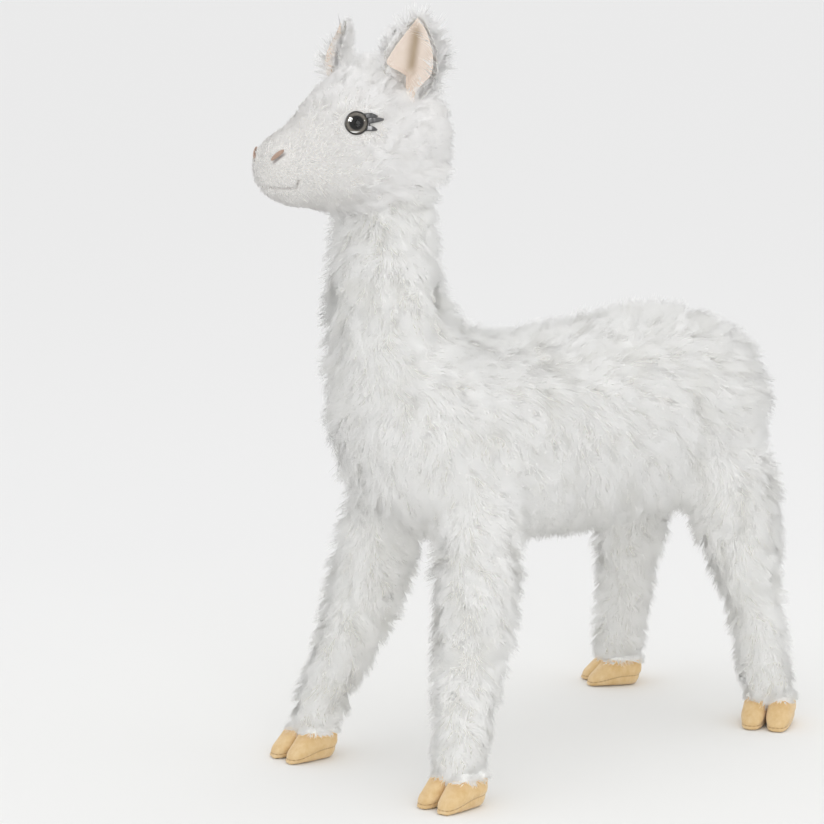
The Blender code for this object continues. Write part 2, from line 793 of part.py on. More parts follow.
def main():
    global parts, cutters
    clear_scene()
    parts = new_collection("plush_alpaca")
    cutters = new_collection("cutters")
    fleece = new_material("white_fleece", (0.86, 0.86, 0.84), 0.95)
    suede = new_material("tan_suede", (0.72, 0.50, 0.24), 0.85)
    lining = new_material("peach_suede", (0.74, 0.58, 0.46), 0.85)
    steel = new_material("frame_wire", (0.55, 0.55, 0.56), 0.35, 1.0)
    looks = {
        "black": new_material("black_plastic", (0.03, 0.028, 0.026), 0.3),
        "clear": new_material("clear_plastic", (0.25, 0.22, 0.19), 0.05),
        "washer": new_material("white_plastic", (0.8, 0.8, 0.78), 0.4),
    }

    body = make_body(fleece)
    body_seat = grown(body, "body_seat")
    below_floor = level_box("below_floor", -CLEAR_OF_TOY, 0.0)
    below_hem = level_box("below_hem", -CLEAR_OF_TOY, HEM_HEIGHT)
    above_ankle = level_box("above_ankle", HEM_HEIGHT - SEAT_GAP, HEM_HEIGHT + CLEAR_OF_TOY)

    front = (front_leg_middle, FRONT_LEG_FORM, FRONT_LEG_WIDTH, FRONT_HOOF_Y, FRONT_TRACK, FRONT_TOE_OUT)
    rear = (rear_leg_middle, REAR_LEG_FORM, REAR_LEG_WIDTH, REAR_HOOF_Y, REAR_TRACK, REAR_TOE_OUT)
    for end, (middle_of, form, width, hoof_y, track, toe_out) in (("front", front), ("rear", rear)):
        legs = []
        for word, side in SIDES:
            tag = end + "_" + word
            legs.append(make_leg("leg_" + tag, middle_of(side), form, width, body_seat, below_hem, fleece))
            foot = Matrix.Translation((side * track / 2, hoof_y, 0)) @ Matrix.Rotation(side * toe_out, 4, "Z")
            for kind, inner in (("outer", side < 0), ("inner", side > 0)):
                make_toe(f"toe_{kind}_{tag}", foot, inner, below_floor, above_ankle, suede)
        make_wire("frame_wire_" + end, wire_points(middle_of), [*legs, body], steel)

    head = make_head(fleece)
    skin = surface_of(head)
    head_seat = grown(head, "head_seat")
    cut(head, body_seat)
    mouth_seam(skin, head)
    for word, side in SIDES:
        make_eye(word, side, skin, head, looks)
        make_nostril(word, side, skin, head, lining)
        make_ear(word, side, head_seat, fleece, lining)
    make_tail(body_seat, fleece)
    centre_on_floor()


main()
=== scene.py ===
"""Looks of the standing plush alpaca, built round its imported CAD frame.

Metres, +Z up. The toy faces -Y and its left side is +X. The torso, neck, legs and tail share one stuffed
skin, the head has its own, and both carry thousands of small closed locks of fleece. Hooves, ear linings,
eyes, lashes and nostrils are modelled one by one at the places of their CAD nodes.
"""

import math

import bmesh
import bpy
import numpy as np
from mathutils.bvhtree import BVHTree
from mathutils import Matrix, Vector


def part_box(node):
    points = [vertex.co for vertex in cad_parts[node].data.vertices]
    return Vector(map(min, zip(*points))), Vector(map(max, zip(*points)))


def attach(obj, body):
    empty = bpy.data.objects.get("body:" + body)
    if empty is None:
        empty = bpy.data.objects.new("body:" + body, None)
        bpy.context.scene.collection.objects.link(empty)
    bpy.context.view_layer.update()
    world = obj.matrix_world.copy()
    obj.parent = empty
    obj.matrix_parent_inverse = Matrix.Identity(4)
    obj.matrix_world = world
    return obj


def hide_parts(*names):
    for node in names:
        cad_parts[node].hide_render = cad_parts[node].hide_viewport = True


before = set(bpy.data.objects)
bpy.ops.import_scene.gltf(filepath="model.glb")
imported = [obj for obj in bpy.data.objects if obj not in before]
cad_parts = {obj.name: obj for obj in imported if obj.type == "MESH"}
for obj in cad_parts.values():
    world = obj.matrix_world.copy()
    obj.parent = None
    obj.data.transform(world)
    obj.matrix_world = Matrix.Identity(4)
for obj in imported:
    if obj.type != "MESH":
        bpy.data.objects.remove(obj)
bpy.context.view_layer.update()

# Stage
CAMERA_PLACE = (2.857, -2.689, 1.131)
CAMERA_TURN = (math.radians(79.89), 0.0, math.radians(48.78))
CAMERA_LENS = 138.4
FLOOR_RADIUS = 60.0

# Skin under the fleece: size of its facets, and how deep it lies under the outside of the fleece
BODY_FACET = 0.010
HEAD_FACET = 0.0038
EAR_FACET = 0.003
TOE_FACET = 0.0024
BODY_DEPTH = 0.012
LEG_DEPTH = 0.009

# The legs' hems, how far they are drawn down over the toes, and where the fleece of legs and neck ends
HEM_LEVEL = 0.042
HEM_DROP = 0.010
LEG_TOP = 0.29
NECK_TOP = 0.765

# Fleece: locks to the square metre, and their sizes
BODY_LOCKS = 170000
NECK_LOCKS = 185000
LEG_LOCKS = 185000
HEAD_LOCKS = 460000
MUZZLE_LOCKS = 640000
TAIL_LOCKS = 260000
FRINGE_LOCKS = 600000
EAR_LOCKS = 420000
LOCK_WIDTH = 0.0014
BODY_TUFTS = 4200
HEAD_TUFTS = 12000

# How far a lock takes its shade from its tuft, how much light comes through its fibres, and how much
# darker the gaps between tufts are painted: painted shade
TUFT_SHADE = 0.9
FIBRE_GLOW = 0.85
GAP_SHADE = 0.55

# The eyes: sunk into the face, moved back and down a little, and turned level
EYE_SINK = 0.008
EYE_MOVE = (0.0, 0.0025, -0.0012)
EYE_LEVEL = 0.35

# The lashes: the ribbed points' turn round the rim, tip in radii of the rim, and half-width
LASH_POINTS = ((28, (1.86, 0.30), 0.0040), (0, (2.36, 0.0), 0.0043), (-34, (1.62, -0.86), 0.0040))
LASH_SIDES = 8

# How low the right ear is bent
EAR_BEND = 0.88

# The muzzle: how far its lips swell and its nostrils are sunk, the mouth's height and the turn of its
# corner in degrees, and how far back the muzzle reaches
LIP_SWELL = 0.005
NOSTRIL_SINK = 0.004
MOUTH_LEVEL = 0.744
MOUTH_TURN = 57.0
MUZZLE_REACH = 0.075

# The toes: how far each is pressed towards the cleft, and the height and length of the white fringe
TOE_PRESS = 0.0055
FRINGE_LEVEL = 0.0355
FRINGE_LENGTH = 0.010

# Fineness of the suede's nap
SUEDE_GRAIN = 1800.0

SIDES = (("left", 1.0), ("right", -1.0))


# Arrays and meshes
def unit(vectors):
    """Each row divided by its own length."""
    return vectors / np.maximum(np.linalg.norm(vectors, axis=-1, keepdims=True), 1e-9)


def ramp(values, low, high):
    """0 up to low, 1 from high, and an S-curve (3t^2 - 2t^3) between them."""
    share = np.clip((values - low) / (high - low), 0.0, 1.0)
    return share * share * (3.0 - 2.0 * share)


def waves(points, length, seed, count=5):
    """A smooth noise from -1 to 1: the mean of sines of the distance along random directions."""
    rng = np.random.default_rng(seed)
    ways = unit(rng.normal(size=(count, 3)))
    sizes = 2.0 * np.pi / (length * rng.uniform(0.7, 1.6, count))
    phases = rng.uniform(0, 2 * np.pi, count)
    return np.sin(points @ (ways * sizes[:, None]).T + phases).sum(axis=1) / math.sqrt(count)


def read_mesh(mesh):
    """The mesh's points and its triangles as arrays."""
    points = np.empty(len(mesh.vertices) * 3)
    mesh.vertices.foreach_get("co", points)
    mesh.calc_loop_triangles()
    tris = np.empty(len(mesh.loop_triangles) * 3, dtype=np.int32)
    mesh.loop_triangles.foreach_get("vertices", tris)
    return points.reshape(-1, 3), tris.reshape(-1, 3)


def new_piece(name, points, faces, material, attributes=None):
    """A finished piece at the origin, from points and rows of triangles or of quads."""
    mesh = bpy.data.meshes.new(name)
    corners = faces.shape[1]
    mesh.vertices.add(len(points))
    mesh.vertices.foreach_set("co", np.ascontiguousarray(points, dtype=np.float32).ravel())
    mesh.loops.add(faces.size)
    mesh.loops.foreach_set("vertex_index", np.ascontiguousarray(faces, dtype=np.int32).ravel())
    mesh.polygons.add(len(faces))
    mesh.polygons.foreach_set("loop_start", np.arange(0, faces.size, corners, dtype=np.int32))
    mesh.update(calc_edges=True)
    mesh.validate()
    for label, values in (attributes or {}).items():
        kind = "FLOAT" if values.ndim == 1 else "FLOAT_VECTOR"
        layer = mesh.attributes.new(label, kind, "POINT")
        layer.data.foreach_set("value" if kind == "FLOAT" else "vector", values.astype(np.float32).ravel())
    mesh.shade_smooth()
    mesh.materials.append(material)
    piece = bpy.data.objects.new(name, mesh)
    bpy.context.scene.collection.objects.link(piece)
    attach(piece, "root")
    return piece


def corner_normals(points, tris):
    """Normals at the points: the sum of the cross products of the triangles that meet there."""
    a, b, c = points[tris[:, 0]], points[tris[:, 1]], points[tris[:, 2]]
    across = np.cross(b - a, c - a)
    total = np.zeros_like(points)
    for k in range(3):
        np.add.at(total, tris[:, k], across)
    return unit(total)


def edges_of(tris):
    """Each pair of points that a triangle's side joins, once."""
    pairs = np.sort(np.concatenate([tris[:, (0, 1)], tris[:, (1, 2)], tris[:, (2, 0)]]), axis=1)
    return np.unique(pairs, axis=0)


def smooth_values(values, edges, rounds):
    """Each round moves every value half way to the mean of its neighbours."""
    count = np.bincount(edges.ravel(), minlength=len(values)).astype(float)
    shape = (-1,) + (1,) * (values.ndim - 1)
    for _ in range(rounds):
        total = np.zeros_like(values)
        np.add.at(total, edges[:, 0], values[edges[:, 1]])
        np.add.at(total, edges[:, 1], values[edges[:, 0]])
        values = 0.5 * values + 0.5 * total / count.reshape(shape)
    return values


def largest_island(points, tris):
    """Only the connected sheet with the most points, found by spreading the lowest index along edges."""
    edges = edges_of(tris)
    label = np.arange(len(points))
    while True:
        low = np.minimum(label[edges[:, 0]], label[edges[:, 1]])
        lower = label.copy()
        np.minimum.at(lower, edges[:, 0], low)
        np.minimum.at(lower, edges[:, 1], low)
        lower = lower[lower]
        if np.array_equal(lower, label):
            break
        label = lower
    main = np.bincount(label).argmax()
    keep = label == main
    order = np.cumsum(keep) - 1
    return points[keep], order[tris[keep[tris[:, 0]]]]


def soft_skin(nodes, facet):
    """One closed skin round these CAD solids: their copies, merged, remeshed in cubes of the facet's size."""
    bm = bmesh.new()
    for name in nodes:
        bm.from_mesh(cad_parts[name].data)
    bmesh.ops.remove_doubles(bm, verts=bm.verts, dist=1e-6)
    mesh = bpy.data.meshes.new("skin_draft")
    bm.to_mesh(mesh)
    bm.free()
    draft = bpy.data.objects.new("skin_draft", mesh)
    bpy.context.scene.collection.objects.link(draft)
    remesh = draft.modifiers.new("cubes", "REMESH")
    remesh.mode = "VOXEL"
    remesh.voxel_size = facet
    bpy.context.view_layer.update()
    done = bpy.data.meshes.new_from_object(draft.evaluated_get(bpy.context.evaluated_depsgraph_get()))
    points, tris = read_mesh(done)
    bpy.data.objects.remove(draft)
    bpy.data.meshes.remove(done)
    return largest_island(points, tris)


def arrays_of(bm):
    """The points and triangles of a bmesh, which is then freed."""
    bmesh.ops.triangulate(bm, faces=bm.faces)
    mesh = bpy.data.meshes.new("draft")
    bm.to_mesh(mesh)
    bm.free()
    arrays = read_mesh(mesh)
    bpy.data.meshes.remove(mesh)
    return arrays


def ring_triangles(rings, count, tips=None):
    """Triangles over rings of points that follow each other: two to each step between neighbouring rings.

    Both ends close as fans, round the tips that are named or else round the end ring's own first point.
    """
    k = np.arange(count)
    after = (k + 1) % count
    end = (rings - 1) * count
    tris = []
    for low in range(0, end, count):
        high = low + count
        tris.append(np.stack([low + k, high + k, high + after], 1))
        tris.append(np.stack([low + k, high + after, low + after], 1))
    first, last = tips or (0, end)
    tris.append(np.stack([np.full(count, first), k, after], 1))
    tris.append(np.stack([np.full(count, last), end + after, end + k], 1))
    tris = np.concatenate(tris)
    return tris[(tris[:, 0] != tris[:, 1]) & (tris[:, 2] != tris[:, 0])]


def outward(points, tris):
    """The same triangles, all turned over if together they enclose a negative volume."""
    a, b, c = points[tris[:, 0]], points[tris[:, 1]], points[tris[:, 2]]
    return tris if (a * np.cross(b, c)).sum() > 0 else tris[:, ::-1]


def middle_of(node):
    """The middle of a CAD node's box."""
    low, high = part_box(node)
    return (np.array(low) + np.array(high)) / 2


def merged_copy(node):
    """A bmesh copy of a CAD node with its loose corners joined."""
    bm = bmesh.new()
    bm.from_mesh(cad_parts[node].data)
    bmesh.ops.remove_doubles(bm, verts=bm.verts, dist=1e-6)
    return bm


def node_points(node):
    """The corners of a CAD node, each once."""
    bm = merged_copy(node)
    points = np.array([vert.co for vert in bm.verts])
    bm.free()
    return points


def distance_to(points, *nodes):
    """How far each point is from the nearest of these CAD solids' surfaces."""
    best = np.full(len(points), np.inf)
    for node in nodes:
        bm = merged_copy(node)
        tree = BVHTree.FromBMesh(bm)
        bm.free()
        best = np.minimum(best, np.array([tree.find_nearest(point)[3] for point in points.tolist()]))
    return best


def long_axes(points):
    """The directions in which a cloud of points is longest, next longest and thinnest."""
    _, _, axes = np.linalg.svd(points - points.mean(axis=0), full_matrices=False)
    return axes


def facing(axis, way):
    """The axis, turned round if it points away from the way."""
    return axis if axis @ np.array(way) > 0 else -axis


# Materials
def new_material(name):
    """A material, its node tree and its Principled shader."""
    material = bpy.data.materials.new(name)
    material.use_nodes = True
    tree = material.node_tree
    return material, tree, tree.nodes["Principled BSDF"]


def add_node(tree, kind, inputs=None, **settings):
    """A node with its settings, and with values or links on its inputs."""
    made = tree.nodes.new(kind)
    for key, value in settings.items():
        setattr(made, key, value)
    for key, value in (inputs or {}).items():
        if hasattr(value, "is_output"):
            tree.links.new(value, made.inputs[key])
        else:
            made.inputs[key].default_value = (*value, 1.0) if made.inputs[key].type == "RGBA" else value
    return made


def object_point(tree):
    """The Object coordinates, in metres."""
    return add_node(tree, "ShaderNodeTexCoord").outputs["Object"]


def attribute(tree, name, socket="Fac"):
    """A value that the mesh keeps at its points."""
    return add_node(tree, "ShaderNodeAttribute", attribute_name=name).outputs[socket]


def calculated(tree, operation, first, second=0.0):
    """One step of arithmetic."""
    return add_node(tree, "ShaderNodeMath", {0: first, 1: second}, operation=operation).outputs[0]


def vector(tree, operation, inputs):
    """One step of arithmetic on vectors."""
    return add_node(tree, "ShaderNodeVectorMath", inputs, operation=operation).outputs[0]


def noise(tree, point, scale, detail=3.0, roughness=0.55):
    """A cloud of noise from 0 to 1, with so many lumps to the metre."""
    settings = {"Vector": point, "Scale": scale, "Detail": detail, "Roughness": roughness}
    return add_node(tree, "ShaderNodeTexNoise", settings).outputs["Fac"]


def spread(tree, value, low, high, to_low=0.0, to_high=1.0):
    """The value's range from low to high, drawn out to another range and cut off at its ends."""
    settings = {"Value": value, "From Min": low, "From Max": high, "To Min": to_low, "To Max": to_high}
    return add_node(tree, "ShaderNodeMapRange", settings).outputs["Result"]


def mix_colour(tree, share, first, second):
    """The first colour, with this share of the second."""
    inputs = {"Factor": share, 6: first, 7: second}
    return add_node(tree, "ShaderNodeMix", inputs, data_type="RGBA").outputs[2]


def bump(tree, height, strength, distance):
    """The normal of a surface with this height laid on it."""
    settings = {"Height": height, "Strength": strength, "Distance": distance}
    return add_node(tree, "ShaderNodeBump", settings).outputs["Normal"]


def new_group(name, inputs, outputs):
    """A shader node group with these named sockets, what comes into it and what goes out."""
    group = bpy.data.node_groups.new(name, "ShaderNodeTree")
    for side, sockets in (("INPUT", inputs), ("OUTPUT", outputs)):
        for label, kind in sockets.items():
            group.interface.new_socket(label, in_out=side, socket_type="NodeSocket" + kind)
    return group, group.nodes.new("NodeGroupInput").outputs, group.nodes.new("NodeGroupOutput").inputs


def mottle_group():
    """Soft patches: noise at Scale, spread from Low to High, mixes up to Share of Patches into Ground."""
    values = ("Scale", "Detail", "Roughness", "Low", "High", "Share")
    inputs = {"Ground": "Color", "Patches": "Color", **dict.fromkeys(values, "Float")}
    group, given, made = new_group("mottle", inputs, {"Color": "Color", "Cloud": "Float"})
    cloud = noise(group, object_point(group), given["Scale"], given["Detail"], given["Roughness"])
    share = spread(group, cloud, given["Low"], given["High"], 0.0, given["Share"])
    group.links.new(mix_colour(group, share, given["Ground"], given["Patches"]), made["Color"])
    group.links.new(cloud, made["Cloud"])
    return group


def fold_shade_group():
    """Painted shade in deep folds: the crease attribute, spread from Start to 1, mixes up to 0.85 of the
    fold's shade colour into Surface.
    """
    inputs = {"Surface": "Color", "FoldShade": "Color", "Start": "Float"}
    group, given, made = new_group("fold_shade", inputs, {"Color": "Color"})
    share = spread(group, attribute(group, "crease_shade"), given["Start"], 1.0, 0.0, 0.85)
    group.links.new(mix_colour(group, share, given["Surface"], given["FoldShade"]), made["Color"])
    return group


def grain_group():
    """Fine relief: the normal of noise at Scale, laid on as a bump of Strength and Distance."""
    values = ("Scale", "Detail", "Roughness", "Strength", "Distance")
    group, given, made = new_group("grain", dict.fromkeys(values, "Float"), {"Normal": "Vector"})
    height = noise(group, object_point(group), given["Scale"], given["Detail"], given["Roughness"])
    group.links.new(bump(group, height, given["Strength"], given["Distance"]), made["Normal"])
    return group


def mottled(tree, ground, patches, scale, low, high, detail=3.0, roughness=0.55, share=1.0):
    """The mottle group placed in a material: its colour and its cloud."""
    inputs = {"Ground": ground, "Patches": patches, "Scale": scale, "Detail": detail}
    inputs |= {"Roughness": roughness, "Low": low, "High": high, "Share": share}
    made = add_node(tree, "ShaderNodeGroup", inputs, node_tree=MOTTLE).outputs
    return made["Color"], made["Cloud"]


def fold_shaded(tree, colour, shaded_fold, start):
    """The fold group placed in a material: its colour, with painted shade in the folds."""
    inputs = {"Surface": colour, "FoldShade": shaded_fold, "Start": start}
    return add_node(tree, "ShaderNodeGroup", inputs, node_tree=FOLD_SHADE).outputs["Color"]


def grained(tree, scale, detail, roughness, strength, distance):
    """The grain group placed in a material: its normal."""
    inputs = {"Scale": scale, "Detail": detail, "Roughness": roughness}
    inputs |= {"Strength": strength, "Distance": distance}
    return add_node(tree, "ShaderNodeGroup", inputs, node_tree=GRAIN).outputs["Normal"]


def soft_normal(tree, amount):
    """The surface's own normal, turned towards the normal of the tuft that the lock belongs to."""
    own = add_node(tree, "ShaderNodeNewGeometry").outputs["Normal"]
    tuft_part = vector(tree, "SCALE", {0: attribute(tree, "tuft", "Vector"), "Scale": amount})
    own_part = vector(tree, "SCALE", {0: own, "Scale": 1.0 - amount})
    return vector(tree, "NORMALIZE", {0: vector(tree, "ADD", {0: tuft_part, 1: own_part})})


def let_light_through(tree, surface):
    """Clear plastic passes the light on to what lies behind it."""
    path = add_node(tree, "ShaderNodeLightPath").outputs
    light = calculated(tree, "MAXIMUM", path["Is Shadow Ray"], path["Is Diffuse Ray"])
    clear_part = add_node(tree, "ShaderNodeBsdfTransparent").outputs[0]
    mix = add_node(tree, "ShaderNodeMixShader", {"Fac": light, 1: surface, 2: clear_part})
    tree.links.new(mix.outputs[0], tree.nodes["Material Output"].inputs["Surface"])


def lit_through(tree, shader, colour, normal):
    """Light that comes through the fibres: a paler Translucent part, its normal turned round, is added."""
    turned = vector(tree, "SCALE", {0: normal, "Scale": -1.0})
    glow = mix_colour(tree, FIBRE_GLOW, (0.0, 0.0, 0.0), colour)
    through = add_node(tree, "ShaderNodeBsdfTranslucent", {"Color": glow, "Normal": turned})
    both = add_node(tree, "ShaderNodeAddShader", {0: shader.outputs[0], 1: through.outputs[0]})
    return both.outputs[0]


def fleece_material(name, root_colour, tip_colour, shade, fibres):
    """White pile: from a darker root to its tip, the roots' darkness painted shade deep in the pile. Soft
    patches and some random locks are nearer the shade, and so, as painted shade, are locks in gaps between
    tufts.

    Fibres take the normal of their tuft and let light through. The backing cloth has fine grain instead.
    """
    material, tree, shader = new_material(name)
    # Roots painted a little darker than tips: painted shade deep in the pile
    colour = mix_colour(tree, spread(tree, attribute(tree, "along"), 0.0, 0.85), root_colour, tip_colour)
    colour, _ = mottled(tree, colour, shade, 14.0, 0.35, 0.7, detail=2.0, share=0.12)
    # Locks nearer the shade colour: at random, on the muzzle, and as painted shade in the gaps between tufts
    colour = mix_colour(tree, spread(tree, attribute(tree, "tint_and_shade"), 0.2, 1.0), colour, shade)
    # Painted shade: the mouth's seam and the nose's slits are painted darker
    colour = fold_shaded(tree, colour, (0.16, 0.13, 0.12), 0.1)
    tree.links.new(colour, shader.inputs["Base Color"])
    rough = spread(tree, noise(tree, object_point(tree), 260.0, 2.0), 0.3, 0.7, 0.62, 0.85)
    tree.links.new(rough, shader.inputs["Roughness"])
    normal = soft_normal(tree, TUFT_SHADE) if fibres else grained(tree, 1500.0, 3.0, 0.7, 0.2, 0.0006)
    tree.links.new(normal, shader.inputs["Normal"])
    if fibres:
        surface = lit_through(tree, shader, colour, normal)
        tree.links.new(surface, tree.nodes["Material Output"].inputs["Surface"])
        material.cycles.use_bump_map_correction = False
    shader.inputs["Specular IOR Level"].default_value = 0.1
    shader.inputs["Sheen Weight"].default_value = 0.15
    shader.inputs["Sheen Roughness"].default_value = 0.45
    return material


def seam_marks(tree):
    """The sole seam: stitches where the seam attribute is near 0 mm, and gathers that fade out over it."""
    seam, turn = attribute(tree, "seam"), attribute(tree, "turn")
    off = calculated(tree, "ABSOLUTE", seam)
    stitch = calculated(tree, "SINE", calculated(tree, "MULTIPLY", turn, 46.0))
    thread = spread(tree, off, 0.25, 0.9, 0.75, 0.0)
    line = calculated(tree, "MULTIPLY", thread, spread(tree, stitch, -1.0, 0.6, 0.45, 1.0))
    place = add_node(tree, "ShaderNodeCombineXYZ", {"X": turn, "Y": spread(tree, seam, 0.0, 100.0)})
    folds = noise(tree, place.outputs[0], 9.0, 3.0)
    folds = calculated(tree, "MULTIPLY", folds, spread(tree, off, 1.0, 9.0, 3.5, 0.0))
    gathers = calculated(tree, "ADD", folds, spread(tree, off, 0.2, 1.0, -1.5, 0.0))
    return line, gathers


def suede_material(name, light, dark, shaded_fold, sewn=False):
    """Short-napped cloth: patches of brushed nap, fine grain, painted shade in its folds, and on toes seam
    and cuff.
    """
    material, tree, shader = new_material(name)
    colour, _ = mottled(tree, light, dark, 90.0, 0.3, 0.7, detail=4.0, roughness=0.6)
    colour, fine = mottled(tree, colour, dark, SUEDE_GRAIN, 0.35, 0.65, detail=4.0, roughness=0.7, share=0.25)
    colour = fold_shaded(tree, colour, shaded_fold, 0.0)
    height = fine
    if sewn:
        line, gathers = seam_marks(tree)
        colour = mix_colour(tree, line, colour, (0.36, 0.20, 0.08))
        colour = mix_colour(tree, attribute(tree, "cuff"), colour, (0.88, 0.88, 0.86))
        height = calculated(tree, "ADD", gathers, fine)
    tree.links.new(colour, shader.inputs["Base Color"])
    tree.links.new(spread(tree, fine, 0.3, 0.7, 0.72, 0.95), shader.inputs["Roughness"])
    tree.links.new(bump(tree, height, 0.6, 0.0005 if sewn else 0.0003), shader.inputs["Normal"])
    shader.inputs["Sheen Weight"].default_value = 0.35
    shader.inputs["Specular IOR Level"].default_value = 0.2
    return material


def plastic_material(name, colour, roughness, coat=0.0):
    """Moulded plastic: a faint mottle in the colour and gloss, and fine waves in the surface."""
    material, tree, shader = new_material(name)
    lighter = [min(c * 1.35 + 0.008, 1.0) for c in colour]
    mottle, cloud = mottled(tree, colour, lighter, 220.0, 0.3, 0.7)
    tree.links.new(mottle, shader.inputs["Base Color"])
    rough = spread(tree, cloud, 0.3, 0.7, roughness * 0.8, roughness * 1.25)
    tree.links.new(rough, shader.inputs["Roughness"])
    tree.links.new(grained(tree, 500.0, 2.0, 0.55, 0.1, 0.0001), shader.inputs["Normal"])
    shader.inputs["Coat Weight"].default_value = coat
    return material


def iris_material():
    """Taupe ring round a wide soft-edged black pupil, darker at its rim, with fine spokes."""
    material, tree, shader = new_material("painted_iris")
    share = attribute(tree, "share")
    place = add_node(tree, "ShaderNodeCombineXYZ", {"X": attribute(tree, "turn"), "Y": share}).outputs[0]
    spokes = noise(tree, vector(tree, "MULTIPLY", {0: place, 1: (9.0, 1.5, 1.0)}), 3.0, 4.0)
    ring = mix_colour(tree, spread(tree, spokes, 0.3, 0.7), (0.075, 0.066, 0.055), (0.22, 0.20, 0.17))
    ring = mix_colour(tree, spread(tree, share, 0.88, 1.0, 0.0, 0.9), ring, (0.02, 0.018, 0.016))
    ring = mix_colour(tree, spread(tree, share, 0.57, 0.72), (0.003, 0.003, 0.003), ring)
    tree.links.new(ring, shader.inputs["Base Color"])
    tree.links.new(spread(tree, spokes, 0.3, 0.7, 0.35, 0.5), shader.inputs["Roughness"])
    shader.inputs["Specular IOR Level"].default_value = 0.03
    return material


def clear_material():
    """Clear moulded plastic, faintly smeared."""
    material, tree, shader = new_material("clear_dome")
    shader.inputs["Base Color"].default_value = (1.0, 1.0, 1.0, 1.0)
    shader.inputs["Transmission Weight"].default_value = 1.0
    shader.inputs["IOR"].default_value = 1.42
    shader.inputs["Specular IOR Level"].default_value = 0.25
    smear = noise(tree, object_point(tree), 300.0, 2.0)
    tree.links.new(spread(tree, smear, 0.4, 0.8, 0.0, 0.01), shader.inputs["Roughness"])
    let_light_through(tree, shader.outputs[0])
    return material


def wire_material():
    """Drawn steel: fine lines round the wire and small dull spots."""
    material, tree, shader = new_material("drawn_wire")
    colour, spots = mottled(tree, (0.56, 0.56, 0.57), (0.40, 0.38, 0.36), 60.0, 0.4, 0.7)
    tree.links.new(colour, shader.inputs["Base Color"])
    tree.links.new(spread(tree, spots, 0.35, 0.7, 0.28, 0.5), shader.inputs["Roughness"])
    tree.links.new(grained(tree, 900.0, 3.0, 0.55, 0.2, 0.0001), shader.inputs["Normal"])
    shader.inputs["Metallic"].default_value = 1.0
    return material


# Skin of torso, neck, legs and tail
LEGS = [f"leg_{end}_{word}" for end in ("front", "rear") for word, _ in SIDES]


def body_skin():
    """The skin of body, legs and tail, sunk under the fleece: less at the legs, and level at the hems."""
    points, tris = soft_skin(["body", "tail", *LEGS], BODY_FACET)
    edges = edges_of(tris)
    points = smooth_values(points, edges, 3)
    normals = corner_normals(points, tris)
    high = points[:, 2]
    depth = LEG_DEPTH + (BODY_DEPTH - LEG_DEPTH) * ramp(high, 0.20, 0.36)
    depth *= 0.55 + 0.45 * ramp(high, HEM_LEVEL, 0.10)
    flat = ramp(high, HEM_LEVEL, HEM_LEVEL + 0.012)
    normals[:, 2] *= flat
    points = points - unit(normals) * depth[:, None]
    points = smooth_values(points, edges, 4)
    points[:, 2] = np.maximum(points[:, 2], HEM_LEVEL - 0.001)
    points[:, 2] -= HEM_DROP * (1 - ramp(points[:, 2], HEM_LEVEL, 0.085))
    return points, tris


# Skin of the head
NOSE_TIP = float(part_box("head")[0][1])


def eye_frame(word):
    """The middle of an eye's rim, the way it looks, its radius, and how far the dome stands before it."""
    cup, dome = node_points("eye_cup_" + word), node_points("eye_dome_" + word)
    middle = cup.mean(axis=0)
    axis = unit(dome.mean(axis=0) - middle)
    front = ((cup - middle) @ axis).max()
    off = cup - middle - np.outer((cup - middle) @ axis, axis)
    rise = ((dome - middle) @ axis).max() - front
    rim = middle + axis * front
    way = unit(axis * np.array([1.0, 1.0, EYE_LEVEL]))
    return rim - way * EYE_SINK + np.array(EYE_MOVE), way, np.linalg.norm(off, axis=1).max(), rise


EYE_LEFT, EYE_WAY, EYE_RADIUS, _ = eye_frame("left")
NOSTRIL_LEFT = middle_of("nostril_left")
CROWN = float(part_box("head")[1][2])


def side_signs(points):
    """Rows that turn the right side over to the left when points are multiplied by them, and back again."""
    return np.stack([np.where(points[:, 0] < 0, -1.0, 1.0), *np.ones((2, len(points)))], axis=1)


def on_left(points):
    """The same points with those of the right side mirrored to the left."""
    return points * side_signs(points)


def to_eye(points):
    """Distance from the line along which the nearer eye looks."""
    away = on_left(points) - EYE_LEFT
    return np.linalg.norm(away - np.outer(away @ EYE_WAY, EYE_WAY), axis=1)


def round_eyes(points):
    """The skin laid round the eyes: under the rim near them, and close to its level beside them."""
    mirrored = on_left(points)
    height = (mirrored - EYE_LEFT) @ EYE_WAY
    out = np.maximum(to_eye(points) - EYE_RADIUS, 0.0)
    ceiling = -0.0012 + 0.45 * out + 14.0 * out**2
    floor = -0.0035 - 0.9 * out - 30.0 * out**2
    near = height > -0.045
    wanted = np.where(near, np.clip(height, floor, ceiling), height)
    moved = mirrored + np.outer(wanted - height, EYE_WAY)
    return moved * side_signs(points)


def to_nostril(points):
    """Distance from the middle of the nearer nostril."""
    return np.linalg.norm(on_left(points) - NOSTRIL_LEFT, axis=1)


def pile_on_head(points):
    """Length of the pile: short on the muzzle, longer back over the brow and cheeks, short at the eyes."""
    back = points[:, 1] - NOSE_TIP
    up = points[:, 2]
    length = 0.0070 + 0.005 * ramp(back, 0.050, 0.100) + 0.013 * ramp(back, 0.090, 0.165)
    length += 0.004 * ramp(up, CROWN - 0.03, CROWN)
    near_eye = ramp(to_eye(points), 0.015, 0.045)
    near_nose = ramp(to_nostril(points), 0.008, 0.020)
    return np.minimum(length, 0.006 + 0.024 * near_eye) * (0.55 + 0.45 * near_nose)


